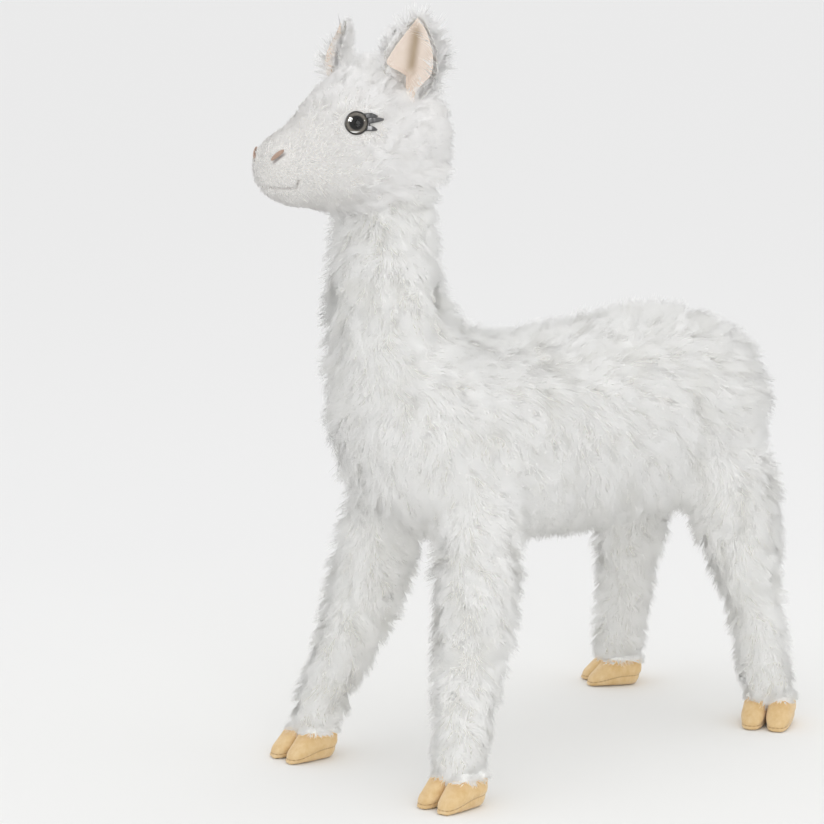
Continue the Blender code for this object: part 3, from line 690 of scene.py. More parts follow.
def mouth_line(points):
    """How near a point is to the mouth's seam, from 0 to 1, on the front of the muzzle.

    A level line fades out at the corner of the mouth, where a short steeper one climbs from it.
    """
    side, back, up = np.abs(points[:, 0]), points[:, 1] - NOSE_TIP, points[:, 2]
    turn = np.degrees(np.arctan2(side, 0.044 - back))
    flat = np.exp(-(((up - MOUTH_LEVEL) / 0.0016) ** 2))
    flat *= 1 - ramp(turn, MOUTH_TURN - 2, MOUTH_TURN + 2)
    step = (turn - MOUTH_TURN - 4.0 * ramp(up, MOUTH_LEVEL, MOUTH_LEVEL + 0.013)) / 2.4
    corner = np.exp(-(step**2)) * ramp(up, MOUTH_LEVEL - 0.002, MOUTH_LEVEL + 0.001)
    corner *= 1 - ramp(up, MOUTH_LEVEL + 0.010, MOUTH_LEVEL + 0.014)
    return np.maximum(0.6 * flat, corner) * (back < 0.06)


def nostril_slit(points):
    """How near a point is to the nearer nostril's line, from 0 to 1. The line runs past both its ends."""
    line = long_axes(node_points("nostril_left"))[0]
    from_middle = on_left(points) - NOSTRIL_LEFT
    along = from_middle @ line
    off = np.linalg.norm(from_middle - along[:, None] * line, axis=1)
    return np.exp(-((off / 0.0018) ** 2)) * (1 - ramp(np.abs(along), 0.010, 0.016))


def lip_swell(points):
    """Two soft swellings of the muzzle, over the upper lip and under the chin."""
    swell = np.zeros(len(points))
    for back, up, reach in ((0.012, 0.012, 0.030), (0.034, -0.018, 0.026)):
        middle = np.array([0.0, NOSE_TIP + back, MOUTH_LEVEL + up])
        swell += np.exp(-((np.linalg.norm((points - middle) * (0.7, 1.0, 1.0), axis=1) / reach) ** 2))
    return np.minimum(swell, 1.0)


def on_muzzle(points):
    """True on the front of the head, where its skin is cut finer."""
    return (points[:, 1] < NOSE_TIP + MUZZLE_REACH) & (points[:, 2] > 0.70)


def finer(points, tris, chosen):
    """The same skin with every edge halved whose ends are both chosen."""
    bm = bmesh.new()
    verts = [bm.verts.new(point) for point in points.tolist()]
    for tri in tris.tolist():
        bm.faces.new([verts[k] for k in tri])
    bm.verts.index_update()
    edges = [e for e in bm.edges if chosen[e.verts[0].index] and chosen[e.verts[1].index]]
    bmesh.ops.subdivide_edges(bm, edges=edges, cuts=1, use_grid_fill=True)
    return arrays_of(bm)


def head_skin():
    """The head's skin, sunk by part of its pile, with the mouth's seam and the nose's slits pressed in."""
    points, tris = soft_skin(["head"], HEAD_FACET)
    points = smooth_values(points, edges_of(tris), 6)
    points, tris = finer(points, tris, on_muzzle(points))
    points = smooth_values(points, edges_of(tris), 2)
    normals = corner_normals(points, tris)
    depth = np.clip(0.38 * pile_on_head(points), 0.0006, 0.010)
    depth *= ramp(to_nostril(points), 0.004, 0.014) * ramp(distance_to(points, "body"), 0.002, 0.016)
    depth += 0.0030 * mouth_line(points) + 0.0016 * nostril_slit(points)
    depth -= LIP_SWELL * lip_swell(points)
    return round_eyes(points - normals * depth[:, None]), tris


def area_of(points, tris):
    """Half the length of each triangle's cross product."""
    a, b, c = points[tris[:, 0]], points[tris[:, 1]], points[tris[:, 2]]
    return np.linalg.norm(np.cross(b - a, c - a), axis=1) / 2


# Locks of fleece
def scatter(points, tris, density, rng):
    """Random points over a skin: each triangle draws as many as its area times its density asks."""
    expected = area_of(points, tris) * density
    total = int(expected.sum())
    picked = np.searchsorted(np.cumsum(expected), rng.uniform(0, expected.sum(), total))
    first, second = rng.uniform(size=(2, total))
    over = first + second > 1
    first[over], second[over] = 1 - first[over], 1 - second[over]
    weights = np.stack([1 - first - second, first, second], axis=1)
    return picked, weights


def at_weights(values, tris, picked, weights):
    """Values at scattered points, from those at the corners of their triangles."""
    corners = values[tris[picked]]
    shape = weights.shape + (1,) * (values.ndim - 1)
    return (corners * weights.reshape(shape)).sum(axis=1)


def nearest(points, centres, chunk=1500):
    """For each point, the index of the nearest centre."""
    found = np.empty(len(points), dtype=np.int64)
    size = (centres**2).sum(axis=1)
    for start in range(0, len(points), chunk):
        part = points[start : start + chunk]
        found[start : start + chunk] = (size - 2 * part @ centres.T).argmin(axis=1)
    return found


def lock_paths(roots, normals, lay, length, lean, rings):
    """Middle lines: each step leans further from the skin's normal towards the lay of the fleece."""
    steps = (np.arange(rings) + 0.5) / rings
    angles = (lean[:, :1] + (lean[:, 1:] - lean[:, :1]) * steps)[..., None]
    ways = normals[:, None] * np.cos(angles) + lay[:, None] * np.sin(angles)
    moves = ways * (length / rings)[:, None, None]
    starts = roots - normals * 0.0015
    return np.concatenate([starts[:, None], starts[:, None] + np.cumsum(moves, axis=1)], axis=1)


def tufted(roots, leaders, rng):
    """The nearest of a few chosen roots for each root: its number, and the way from there to the root."""
    chosen = rng.choice(len(roots), leaders, replace=False)
    group = nearest(roots, roots[chosen])
    return group, roots - roots[chosen][group]


def gathered(paths, group, from_leader, rng, pull, wave):
    """Tips drawn to the middle of their tuft, more or less by chance, and waved with it."""
    count, rings = paths.shape[0], paths.shape[1]
    along = np.linspace(0, 1, rings)
    amount = pull * rng.uniform(0.2, 1.0, (count, 1, 1)) * (along**1.4)[None, :, None]
    paths = paths - from_leader[:, None] * amount
    side = unit(rng.normal(size=(count, 3)))
    swing = np.sin(6.0 * along + rng.uniform(0, 6, group.max() + 1)[group][:, None])
    return paths + side[:, None] * (swing * wave * along)[..., None]


def lock_mesh(paths, normals, width, rng):
    """Closed locks: three points round the middle line at each ring, and one at the tip.

    Each is flatter than it is wide, and lies with its flat side outwards.
    """
    count, rings = paths.shape[0], paths.shape[1] - 1
    ahead = unit(np.gradient(paths, axis=1))
    hint = unit(normals + rng.normal(scale=0.35, size=normals.shape))[:, None]
    side = unit(np.cross(hint, ahead))
    rise = np.cross(ahead, side)
    share = np.arange(rings) / rings
    radius = (width[:, None] / 2) * (0.85 + 0.55 * share - 0.85 * share**2)[None]
    turns = 2 * np.pi * (np.arange(3) / 3 + 1 / 12)
    across, up = 1.35 * np.cos(turns)[:, None], 0.65 * np.sin(turns)[:, None]
    circle = side[:, :rings, None] * across + rise[:, :rings, None] * up
    rounds = paths[:, :rings, None] + circle * radius[..., None, None]
    points = np.concatenate([rounds.reshape(count, rings * 3, 3), paths[:, -1:]], axis=1)
    faces = []
    for ring in range(rings - 1):
        for k in range(3):
            a, b = ring * 3 + k, ring * 3 + (k + 1) % 3
            faces += [(a, b, b + 3), (a, b + 3, a + 3)]
    tip, last = rings * 3, (rings - 1) * 3
    faces += [(last + k, last + (k + 1) % 3, tip) for k in range(3)]
    faces.append((2, 1, 0))
    each = points.shape[1]
    tris = (np.arange(count) * each)[:, None, None] + np.array(faces)[None]
    along = np.append(np.repeat(share, 3), 1.0)
    return points.reshape(-1, 3), tris.reshape(-1, 3), np.tile(along, count)


def add_fleece(name, skin, density, lay_of, pile_of, material, seed, width=LOCK_WIDTH, rings=1,
               tufts=BODY_TUFTS, pull=0.4, wave=0.001, lean=(0.80, 1.05), lean_of=None, tuft_reach=0.010,
               stray=1.0, normal_of=None, crease_shade_of=None, darkening_of=None):
    """Scatter locks over a skin, comb them, gather them in tufts and make them one piece.

    The functions give, for the roots of the locks, the lay, the length, the lean at root and tip, the normal,
    the share of a crease, where locks are shorter and painted with painted shade, and the share of darkening.
    The piece is seen, but only its skin throws a shadow.
    """
    points, tris = skin
    rng = np.random.default_rng(seed)
    picked, weights = scatter(points, tris, density, rng)
    roots = at_weights(points, tris, picked, weights)
    normals = unit(at_weights(corner_normals(points, tris), tris, picked, weights))
    normals = normals if normal_of is None else normal_of(roots, normals)
    crease_shade = np.zeros(len(roots)) if crease_shade_of is None else crease_shade_of(roots)
    darkening = np.zeros(len(roots)) if darkening_of is None else darkening_of(roots)
    length = pile_of(roots) * rng.uniform(0.75, 1.15, len(roots)) * (1 - 0.6 * crease_shade)
    leaders = max(int(tufts * area_of(points, tris)[density > 0].sum()), 1)
    group, from_leader = tufted(roots, leaders, rng)
    turn = rng.normal(scale=0.42, size=leaders)[group][:, None] * stray
    lay = lay_of(roots, normals)
    lay = lay * np.cos(turn) + np.cross(normals, lay) * np.sin(turn) + 0.16 * rng.normal(size=lay.shape)
    lay = unit(lay - normals * (lay * normals).sum(axis=1, keepdims=True))
    angles = np.tile(lean, (len(roots), 1)) if lean_of is None else lean_of(roots, normals)
    angles = angles + rng.normal(scale=0.10, size=angles.shape)
    angles = angles + stray * rng.normal(scale=0.16, size=leaders)[group][:, None]
    paths = lock_paths(roots, normals, lay, length, angles, rings)
    paths = gathered(paths, group, from_leader, rng, pull, wave)
    off = np.linalg.norm(from_leader, axis=1)
    shade = unit(normals + 0.4 * unit(from_leader) * ramp(off, 0, tuft_reach)[:, None])
    # Locks towards the edges of their tufts are painted darker: painted shade in the gaps between tufts
    painted_gap_shade = GAP_SHADE * ramp(off, 0.8 * tuft_reach, 1.3 * tuft_reach)
    widths = width * rng.uniform(0.7, 1.25, len(roots))
    locks, faces, along = lock_mesh(paths, normals, widths, rng)
    corners = rings * 3 + 1
    # Random tone, the painted shade of the gaps and the darker muzzle, together
    tint_and_shade = np.clip(0.5 * rng.uniform(size=len(roots)) ** 2.5 + painted_gap_shade + darkening, 0, 1)
    attributes = {
        "along": along,
        "tint_and_shade": np.repeat(tint_and_shade, corners),
        "tuft": np.repeat(shade, corners, axis=0),
        "crease_shade": np.repeat(crease_shade, corners),
    }
    piece = new_piece(name, locks, faces, material, attributes)
    piece.visible_shadow = False
    piece.visible_diffuse = False
    return piece


def swirled(flow, normals, points, seed, amount):
    """The flow laid on the skin and turned about the skin's normal by a slow noise."""
    flow = unit(flow - normals * (flow * normals).sum(axis=1, keepdims=True) + 1e-6)
    turn = amount * (waves(points, 0.11, seed) + 0.6 * waves(points, 0.045, seed + 1))
    across = np.cross(normals, flow)
    return flow * np.cos(turn)[:, None] + across * np.sin(turn)[:, None]


def lay_on_body(points, normals):
    """Back and down over the torso, and straight down on neck, chest and legs."""
    on_top = ramp(points[:, 2], 0.40, 0.54) * ramp(points[:, 1], -0.20, -0.06)
    flow = np.stack([np.zeros(len(points)), 0.15 + 0.85 * on_top, -1.0 + 0.75 * on_top], axis=1)
    return swirled(flow, normals, points, 11, 0.45)


def pile_on_body(points):
    """Length of the pile: long on the torso, a little shorter down the legs, and short at the hems."""
    high = points[:, 2]
    length = 0.023 + 0.007 * ramp(high, 0.16, 0.34) - 0.003 * ramp(high, 0.60, 0.76)
    return length * (0.80 + 0.20 * ramp(high, HEM_LEVEL, 0.11))


def level_at_hems(points, normals):
    """The skin's normals, turned level near the hems, so that the fleece hangs over the toes."""
    level = 1 - ramp(points[:, 2], HEM_LEVEL - HEM_DROP, HEM_LEVEL + 0.03)
    return unit(normals * np.stack([*np.ones((2, len(points))), 1 - level], axis=1) + 1e-6)


def lean_on_body(points, normals):
    """How far locks lean at root and tip: flatter at the hems, where they hang over the toes."""
    hem = 1 - ramp(points[:, 2], HEM_LEVEL, 0.08)
    return np.stack([0.80 + 0.2 * hem, 1.05 + 0.3 * hem], axis=1)


def lay_on_head(points, normals):
    """Away from the tip of the nose, and down at the back of the head."""
    start = np.array([0.0, NOSE_TIP + 0.02, MOUTH_LEVEL + 0.004])
    flow = unit(points - start)
    back = ramp(points[:, 1] - NOSE_TIP, 0.15, 0.24)[:, None]
    low = ramp(-points[:, 2], -0.80, -0.74)[:, None]
    flow = flow * (1 - 0.7 * back * (1 - low)) + np.array([0.0, 0.3, -0.7]) * np.maximum(back, low * 0.8)
    top = ramp(points[:, 2], CROWN - 0.035, CROWN - 0.005) * ramp(points[:, 1] - NOSE_TIP, 0.08, 0.14)
    flow = flow * (1 - top[:, None]) + np.array([0.0, 0.4, 0.9]) * top[:, None]
    eye = EYE_LEFT * side_signs(points)
    away = (1 - ramp(to_eye(points), 0.017, 0.042))[:, None]
    flow = flow * (1 - away) + unit(points - eye) * away
    return swirled(flow, normals, points, 31, 0.25)


def by_ears(points):
    """1 on the skin of the head at the feet of the ears, falling to 0 over three centimetres."""
    near = points[:, 2] > CROWN - 0.07
    close = np.zeros(len(points))
    if near.any():
        close[near] = 1 - ramp(distance_to(points[near], "ear_left", "ear_right"), 0.006, 0.030)
    return close


def lean_on_head(points, normals):
    """How far locks lean at root and tip: flat on the muzzle, more upright over the crown and cheeks."""
    back = ramp(points[:, 1] - NOSE_TIP, 0.07, 0.17)
    crown = np.maximum(ramp(points[:, 2], CROWN - 0.05, CROWN - 0.01) * back, by_ears(points))
    return np.stack([0.80 - 0.05 * back - 0.35 * crown, 1.15 + 0.05 * back - 0.5 * crown], axis=1)


def pile_by_ears(points):
    """The head's pile, a centimetre longer at the feet of the ears."""
    return pile_on_head(points) + 0.010 * by_ears(points)


def darker_on_muzzle(points):
    """How far the fleece takes the shade's colour: most on the muzzle, none on the brow."""
    return 0.85 * (1 - ramp(points[:, 1] - NOSE_TIP, 0.05, 0.13)) * (1 - ramp(points[:, 2], 0.80, 0.86))


def crease_shade_on_muzzle(points):
    """The share of a crease that locks take from the mouth's seam and the slits of the nose: shorter locks,
    with painted shade.
    """
    return np.maximum(mouth_line(points), 0.9 * nostril_slit(points))


# Stage
def add_camera():
    """The camera of the photograph, with a long lens, from the front left."""
    data = bpy.data.cameras.new("camera")
    data.lens = CAMERA_LENS
    data.clip_end = 200.0
    camera = bpy.data.objects.new("camera", data)
    camera.location = CAMERA_PLACE
    camera.rotation_euler = CAMERA_TURN
    bpy.context.scene.collection.objects.link(camera)
    bpy.context.scene.camera = camera


def add_softbox(name, place, size, power, aim=(0.0, 0.0, 0.45), only_gloss=False):
    """A square lamp aimed at a point. One that is only for gloss lights no matt surface."""
    data = bpy.data.lights.new(name, "AREA")
    data.size = size
    data.energy = power
    lamp = bpy.data.objects.new(name, data)
    lamp.visible_diffuse = not only_gloss
    lamp.location = place
    way = np.array(aim) - np.array(place)
    flat = math.hypot(way[0], way[1])
    lamp.rotation_euler = (math.atan2(flat, -way[2]), 0.0, math.atan2(way[1], way[0]) - math.pi / 2)
    bpy.context.scene.collection.objects.link(lamp)


def add_floor():
    """A round pale floor, with a faint painted pool of light near the toy."""
    turns = 2 * np.pi * np.arange(96) / 96
    rim = np.stack([np.cos(turns), np.sin(turns), np.zeros(96)], axis=1) * FLOOR_RADIUS
    mesh = bpy.data.meshes.new("floor")
    mesh.from_pydata(rim.tolist(), [], [list(range(96))])
    material, tree, shader = new_material("pale_floor")
    out = add_node(tree, "ShaderNodeVectorMath", {0: object_point(tree)}, operation="LENGTH")
    away = spread(tree, out.outputs["Value"], 0.35, 1.3)
    # Painted pool of light: the floor's colour a little paler near the toy
    colour = mix_colour(tree, away, (0.86, 0.86, 0.85), (0.84, 0.84, 0.84))
    tree.links.new(colour, shader.inputs["Base Color"])
    shader.inputs["Roughness"].default_value = 0.9
    shader.inputs["Specular IOR Level"].default_value = 0.1
    mesh.materials.append(material)
    floor = bpy.data.objects.new("floor", mesh)
    bpy.context.scene.collection.objects.link(floor)


def add_world():
    """Plain soft daylight. The camera, gloss and clear plastic see a plain pale grey instead."""
    world = bpy.data.worlds.new("studio")
    world.use_nodes = True
    tree = world.node_tree
    light = tree.nodes["Background"]
    way = add_node(tree, "ShaderNodeTexCoord").outputs["Generated"]
    up = add_node(tree, "ShaderNodeSeparateXYZ", {0: way}).outputs["Z"]
    sky = mix_colour(tree, spread(tree, up, -0.2, 1.0), (0.94, 0.94, 0.94), (1.0, 1.0, 1.0))
    tree.links.new(sky, light.inputs["Color"])
    light.inputs["Strength"].default_value = 1.0
    seen = add_node(tree, "ShaderNodeBackground", {"Color": (0.84, 0.84, 0.84), "Strength": 1.0})
    path = add_node(tree, "ShaderNodeLightPath").outputs
    shows = path["Is Camera Ray"]
    for ray in ("Is Glossy Ray", "Is Transmission Ray"):
        shows = calculated(tree, "MAXIMUM", shows, path[ray])
    mix = add_node(tree, "ShaderNodeMixShader", {"Fac": shows, 1: light.outputs[0], 2: seen.outputs[0]})
    tree.links.new(mix.outputs[0], tree.nodes["World Output"].inputs["Surface"])
    bpy.context.scene.world = world


add_camera()
add_world()
add_floor()
add_softbox("key_softbox", (3.4, -1.9, 1.9), 1.8, 13.5)
add_softbox("low_fill", (3.3, -1.9, 0.4), 1.4, 6.0, (0.0, 0.1, 0.2))
add_softbox("top_softbox", (0.3, 0.4, 3.4), 2.6, 7.0)
add_softbox("eye_window", (-0.63, -3.59, 3.01), 2.2, 500.0, (0.05, -0.32, 0.82), only_gloss=True)
add_softbox("eye_spark", (3.17, 1.60, 2.43), 0.5, 80.0, (0.05, -0.32, 0.82), only_gloss=True)
bpy.context.scene.view_settings.view_transform = "Standard"

MOTTLE, FOLD_SHADE, GRAIN = mottle_group(), fold_shade_group(), grain_group()
fleece = fleece_material(
    "long_fleece", (0.90, 0.895, 0.875), (0.94, 0.94, 0.93), (0.74, 0.735, 0.70), fibres=True)
face_fleece = fleece_material(
    "face_fleece", (0.90, 0.89, 0.88), (0.93, 0.925, 0.915), (0.76, 0.745, 0.725), fibres=True)
# The backing cloth is painted much darker than the locks: painted shade deep under the pile
skin_cloth = fleece_material(
    "fleece_backing", (0.66, 0.655, 0.62), (0.70, 0.685, 0.66), (0.7, 0.7, 0.7), fibres=False)
# Each suede's last colour is the painted shade of its folds
tan = suede_material(
    "tan_suede_cloth", (0.80, 0.60, 0.34), (0.68, 0.46, 0.21), (0.50, 0.27, 0.09), sewn=True)
peach = suede_material("peach_suede_cloth", (0.82, 0.72, 0.64), (0.75, 0.64, 0.55), (0.36, 0.27, 0.17))


def skin_attributes(points, along, crease_shade=None):
    """What the backing cloth's material reads: one place along the locks, no random tint or painted gap
    shade, and the folds.
    """
    return {
        "along": np.full(len(points), along),
        "tint_and_shade": np.zeros(len(points)),
        "crease_shade": np.zeros(len(points)) if crease_shade is None else crease_shade,
    }


def fleeces_of_body(points):
    """The body's fleeces: name, locks to the square metre, and which of these points each one covers."""
    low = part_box("tail")[0]
    side, back, high = np.abs(points[:, 0]), points[:, 1], points[:, 2]
    tail = (back > low[1] + 0.02) & (side < 0.045) & (high > low[2])
    leg = high < LEG_TOP
    neck = ~leg & (back < -0.17 + 0.6 * np.maximum(0.45 - high, 0))
    torso = ~tail & ~leg & ~neck
    return (
        ("torso_fleece_front", BODY_LOCKS, torso & (back < 0.09)),
        ("torso_fleece_back", BODY_LOCKS, torso & (back >= 0.09)),
        ("neck_fleece", NECK_LOCKS, neck & (high < NECK_TOP)),
        ("front_leg_fleece", LEG_LOCKS, leg & (back < 0)),
        ("rear_leg_fleece", LEG_LOCKS, leg & (back >= 0)),
        ("tail_fleece", TAIL_LOCKS, tail),
    )


def dress_body():
    """One pelt for torso, neck, legs and tail, and the fleeces that cover it."""
    skin = body_skin()
    points, tris = skin
    attributes = skin_attributes(points, 0.3)
    piece = new_piece("body_pelt", points, tris, skin_cloth, attributes)
    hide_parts("body", "tail", *LEGS)
    for number, (name, density, covered) in enumerate(fleeces_of_body(points[tris].mean(axis=1))):
        add_fleece(name, skin, density * covered, lay_on_body, pile_on_body, fleece, 100 + 10 * number,
                   lean_of=lean_on_body, normal_of=level_at_hems)


def lash_ways(axis):
    """From an eye, the way back along its rim's plane, and the way up."""
    back = unit(np.array([0.0, 1.0, 0.0]) - axis * axis[1])
    up = np.cross(axis, back)
    return back, facing(up, (0, 0, 1))


def by_lash(points):
    """True under the lash behind the nearer eye: from its rim outwards, between two slanting lines."""
    back, up = lash_ways(EYE_WAY)
    away = (on_left(points) - EYE_LEFT) / EYE_RADIUS
    u, v = away @ back, away @ up
    between = (v < 0.66 - 0.35 * (u - 1)) & (v > -0.85 + 0.6 * (u - 1))
    return (u > 0.5) & (u < 2.3) & between & (to_eye(points) < 0.04)


def dress_head():
    """The head's pelt and its two fleeces, and the skin itself, on which the lashes are laid."""
    skin = head_skin()
    points, tris = skin
    # Painted shade along the mouth's seam and the nose's slits, on the pelt
    crease_shade = np.maximum(mouth_line(points), nostril_slit(points))
    attributes = skin_attributes(points, 0.85, crease_shade)
    piece = new_piece("head_pelt", points, tris, skin_cloth, attributes)
    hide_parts("head")
    centre = points[tris].mean(axis=1)
    free = (to_eye(centre) > EYE_RADIUS + 0.0004) & (to_nostril(centre) > 0.0055) & ~by_lash(centre)
    inside = centre[:, 1] - NOSE_TIP > 0.10
    inside[inside] = distance_to(centre[inside], "body") < 0.004
    back = centre[:, 1] - NOSE_TIP > MUZZLE_REACH
    locks = HEAD_LOCKS * (free & back & ~inside)
    add_fleece("head_fleece", skin, locks, lay_on_head, pile_by_ears, face_fleece, 300, width=0.0015,
               tufts=HEAD_TUFTS, lean_of=lean_on_head, tuft_reach=0.006, darkening_of=darker_on_muzzle)
    locks = MUZZLE_LOCKS * (free & ~back)
    add_fleece("muzzle_fleece", skin, locks, lay_on_head, pile_on_head, face_fleece, 310, width=0.0013,
               tufts=3 * HEAD_TUFTS, pull=0.3, lean_of=lean_on_head, tuft_reach=0.004, stray=0.5,
               darkening_of=darker_on_muzzle, crease_shade_of=crease_shade_on_muzzle)
    return skin


# Ears
def ear_axes(word):
    """An ear's own directions: across it, out of its lined face, and up from stem to tip."""
    points = node_points("ear_lining_" + word)
    up, across, out = long_axes(points)
    up, out = facing(up, (0, 0, 1)), facing(out, (0, -1, 0))
    return points.mean(axis=0), np.cross(up, out), out, up


def outer_way(word):
    """The direction across an ear to its outer side."""
    across = ear_axes(word)[1]
    return across if (across[0] > 0) == (word == "left") else -across


def bent(points, word):
    """The right ear is bent lower than the left: its height over its foot is drawn in."""
    if word == "left":
        return points
    foot = float(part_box("ear_" + word)[0][2])
    return np.column_stack([points[:, :2], foot + EAR_BEND * (points[:, 2] - foot)])


def dress_ear(word, seed):
    """Pelt and fur of one ear: fur on its back and round its lining, longest towards its outer edge."""
    middle, across, out, up = ear_axes(word)
    points, tris = soft_skin(["ear_" + word], EAR_FACET)
    points = bent(smooth_values(points, edges_of(tris), 4), word)
    normals = corner_normals(points, tris)
    front = ramp(normals @ out, 0.0, 0.7)
    points = points - normals * (0.0025 + 0.0035 * front)[:, None]
    skin = (points, tris)
    attributes = skin_attributes(points, 0.6)
    piece = new_piece("ear_pelt_" + word, points, tris, skin_cloth, attributes)
    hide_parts("ear_" + word)
    low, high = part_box("ear_" + word)
    outer = outer_way(word)

    def lay(roots, root_normals):
        """Up the ear, and outwards to its edges."""
        off = (roots - middle) @ across
        flow = up + 30.0 * off[:, None] * across - 0.1 * out
        return swirled(flow, root_normals, roots, seed + 3, 0.25)

    def pile(roots):
        """Length of the pile: longer at the edges, most at the outer edge and the tip."""
        x, share = (roots - middle) @ outer, (roots[:, 2] - low[2]) / (high[2] - low[2])
        length = 0.010 + 0.008 * ramp(np.abs(x), 0.006, 0.018) + 0.008 * ramp(x, 0.008, 0.02)
        return length + (0.010 if word == "left" else 0.002) * ramp(share, 0.7, 0.95)

    def lean(roots, root_normals):
        """How far locks lean at root and tip: flatter at the ear's edges."""
        edge = 1.0 - np.abs(root_normals @ out)
        return np.stack([0.25 + 0.2 * edge, 0.9 + 0.2 * edge], axis=1)

    a, b, c = points[tris[:, 0]], points[tris[:, 1]], points[tris[:, 2]]
    centre = (a + b + c) / 3
    back = unit(np.cross(b - a, c - a)) @ out < 0.25
    above = distance_to(centre, "head") > 0.003
    covered = ~in_lining(*lining_place(centre, word)) & ~back
    locks = EAR_LOCKS * ((back | covered) & above)
    add_fleece("ear_fleece_" + word, skin, locks, lay, pile, face_fleece, seed, width=0.0012,
               tufts=HEAD_TUFTS, lean_of=lean, tuft_reach=0.006)


def lining_place(points, word):
    """Where points lie on an ear's lining: how far to its outer side, and the share of the way up it."""
    middle, _, _, up = ear_axes(word)
    high = (node_points("ear_lining_" + word) - middle) @ up
    shrink = 1.0 if word == "left" else EAR_BEND
    share = ((points - middle) @ up / shrink - high.min()) / np.ptp(high)
    return (points - middle) @ outer_way(word), share


def lining_half_widths(share):
    """Half-widths of the kite to its inner and outer side: wide at 0.42 of its height, and a stem below."""
    inner = 0.0005 + 0.0255 * ramp(share, 0.30, 0.42) - 0.026 * np.clip((share - 0.44) / 0.56, 0, 1) ** 1.2
    outer = 0.0110 + 0.020 * ramp(share, 0.08, 0.42) - 0.030 * np.clip((share - 0.50) / 0.50, 0, 1) ** 1.8
    return np.maximum(inner, 0.0005), np.maximum(outer, 0.0005)


def in_lining(x, share):
    """True for places on an ear that its lining covers."""
    inner, outer = lining_half_widths(share)
    return (x > -inner) & (x < outer) & (share > 0.05) & (share < 1.0)


def line_ear(word):
    """The suede lining: the CAD leaf cut finer, drawn in to a kite with a stem, with a valley and puckers,
    painted darker as painted shade.
    """
    middle, _, out, _ = ear_axes(word)
    bm = merged_copy("ear_lining_" + word)
    bmesh.ops.subdivide_edges(bm, edges=bm.edges, cuts=4, use_grid_fill=True)
    points, tris = arrays_of(bm)
    points = smooth_values(points, edges_of(tris), 2)
    x, share = lining_place(points, word)
    aside = outer_way(word)
    inner, outer = lining_half_widths(share)
    rim = np.maximum(widest_by_level(x, share), 1e-4)
    room = np.where(x < 0, inner, outer)
    points = points + aside * (x * np.minimum(room / rim, 1.0) - x)[:, None]
    x = (points - middle) @ aside
    valley = np.exp(-(((x - 0.001) / 0.0062) ** 2)) * ramp(share, 0.25, 0.45) * (1 - ramp(share, 0.80, 0.98))
    puckered = np.exp(-(((share - 0.32) / 0.07) ** 2)) * np.exp(-((x / 0.012) ** 2))
    puckers = np.sin(share * 150.0 + x * 500.0) * puckered
    points = points - out * (0.0042 * valley + 0.0004 * puckers)[:, None]
    # Painted shade: the valley and the puckers' folds are painted darker
    crease_shade = np.clip(valley + 0.25 * np.maximum(puckers, 0), 0, 1)
    points = bent(points, word)
    piece = new_piece("ear_cloth_" + word, points, tris, peach, {"crease_shade": crease_shade})
    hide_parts("ear_lining_" + word)


def widest_by_level(x, share, levels=40):
    """For each point, the greatest reach at its own height of the points on its own side of the middle."""
    step = np.clip((share * levels).astype(int), 0, levels - 1)
    reach = np.zeros((2, levels))
    side = (x > 0).astype(int)
    np.maximum.at(reach, (side, step), np.abs(x))
    heights = (np.arange(levels) + 0.5) / levels
    return np.where(side == 1, np.interp(share, heights, reach[1]), np.interp(share, heights, reach[0]))


# Hooves
def sew_toe(kind, tag):
    """A stuffed toe of suede: made round, pressed against its neighbour, with a seam round the sole."""
    node = f"toe_{kind}_{tag}"
    points, tris = soft_skin([node], TOE_FACET)
    low, high = (np.array(corner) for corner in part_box(node))
    points = smooth_values(points, edges_of(tris), 22)
    points = low + (points - points.min(axis=0)) * (high - low) / np.ptp(points, axis=0)
    partner = "inner" if kind == "outer" else "outer"
    other = middle_of(f"toe_{partner}_{tag}")
    aside = unit((middle_of(node) - other) * (1, 1, 0))
    cleft = (middle_of(node) + other) / 2
    off = (points - cleft) @ aside
    pressed = off - TOE_PRESS
    pressed = 0.5 * (pressed + np.sqrt(pressed**2 + 0.004**2))
    points = points + aside * (pressed - off)[:, None]
    flat_axes = long_axes(node_points(node) * np.array([1, 1, 0.2]))
    ahead = unit(facing(flat_axes[0] * np.array([1, 1, 0]), (0, -1, 0)))
    reach = points @ ahead
    share = (reach - reach.min()) / np.ptp(reach)
    seam = points[:, 2] - (0.0145 - 0.0085 * ramp(share, 0.35, 0.98))
    normals = corner_normals(points, tris)
    wall = 1 - np.abs(normals[:, 2]) ** 4
    puff = 0.0010 * np.exp(-(((seam - 0.006) / 0.005) ** 2)) - 0.0007 * np.exp(-((seam / 0.0024) ** 2))
    points = points + normals * (puff * wall)[:, None]
    points[:, 2] = np.clip(points[:, 2], 0.0, high[2])
    turn = np.arctan2((points - points.mean(axis=0)) @ np.cross([0, 0, 1.0], ahead), reach - reach.mean())
    # Painted shade under the fringe and in the cleft where the toes press together
    shade_under_fringe = ramp(points[:, 2], FRINGE_LEVEL - 0.012, FRINGE_LEVEL + 0.002)
    attributes = {
        "crease_shade": 0.5 * shade_under_fringe + 0.5 * ramp(-pressed, -0.004, 0),
        "cuff": ramp(points[:, 2], FRINGE_LEVEL, FRINGE_LEVEL + 0.0015),
        "seam": seam * 1000.0,
        "turn": turn,
    }
    piece = new_piece(node + "_suede", points, tris, tan, attributes)
    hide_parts(node)
    hang_fringe(node, points, tris)


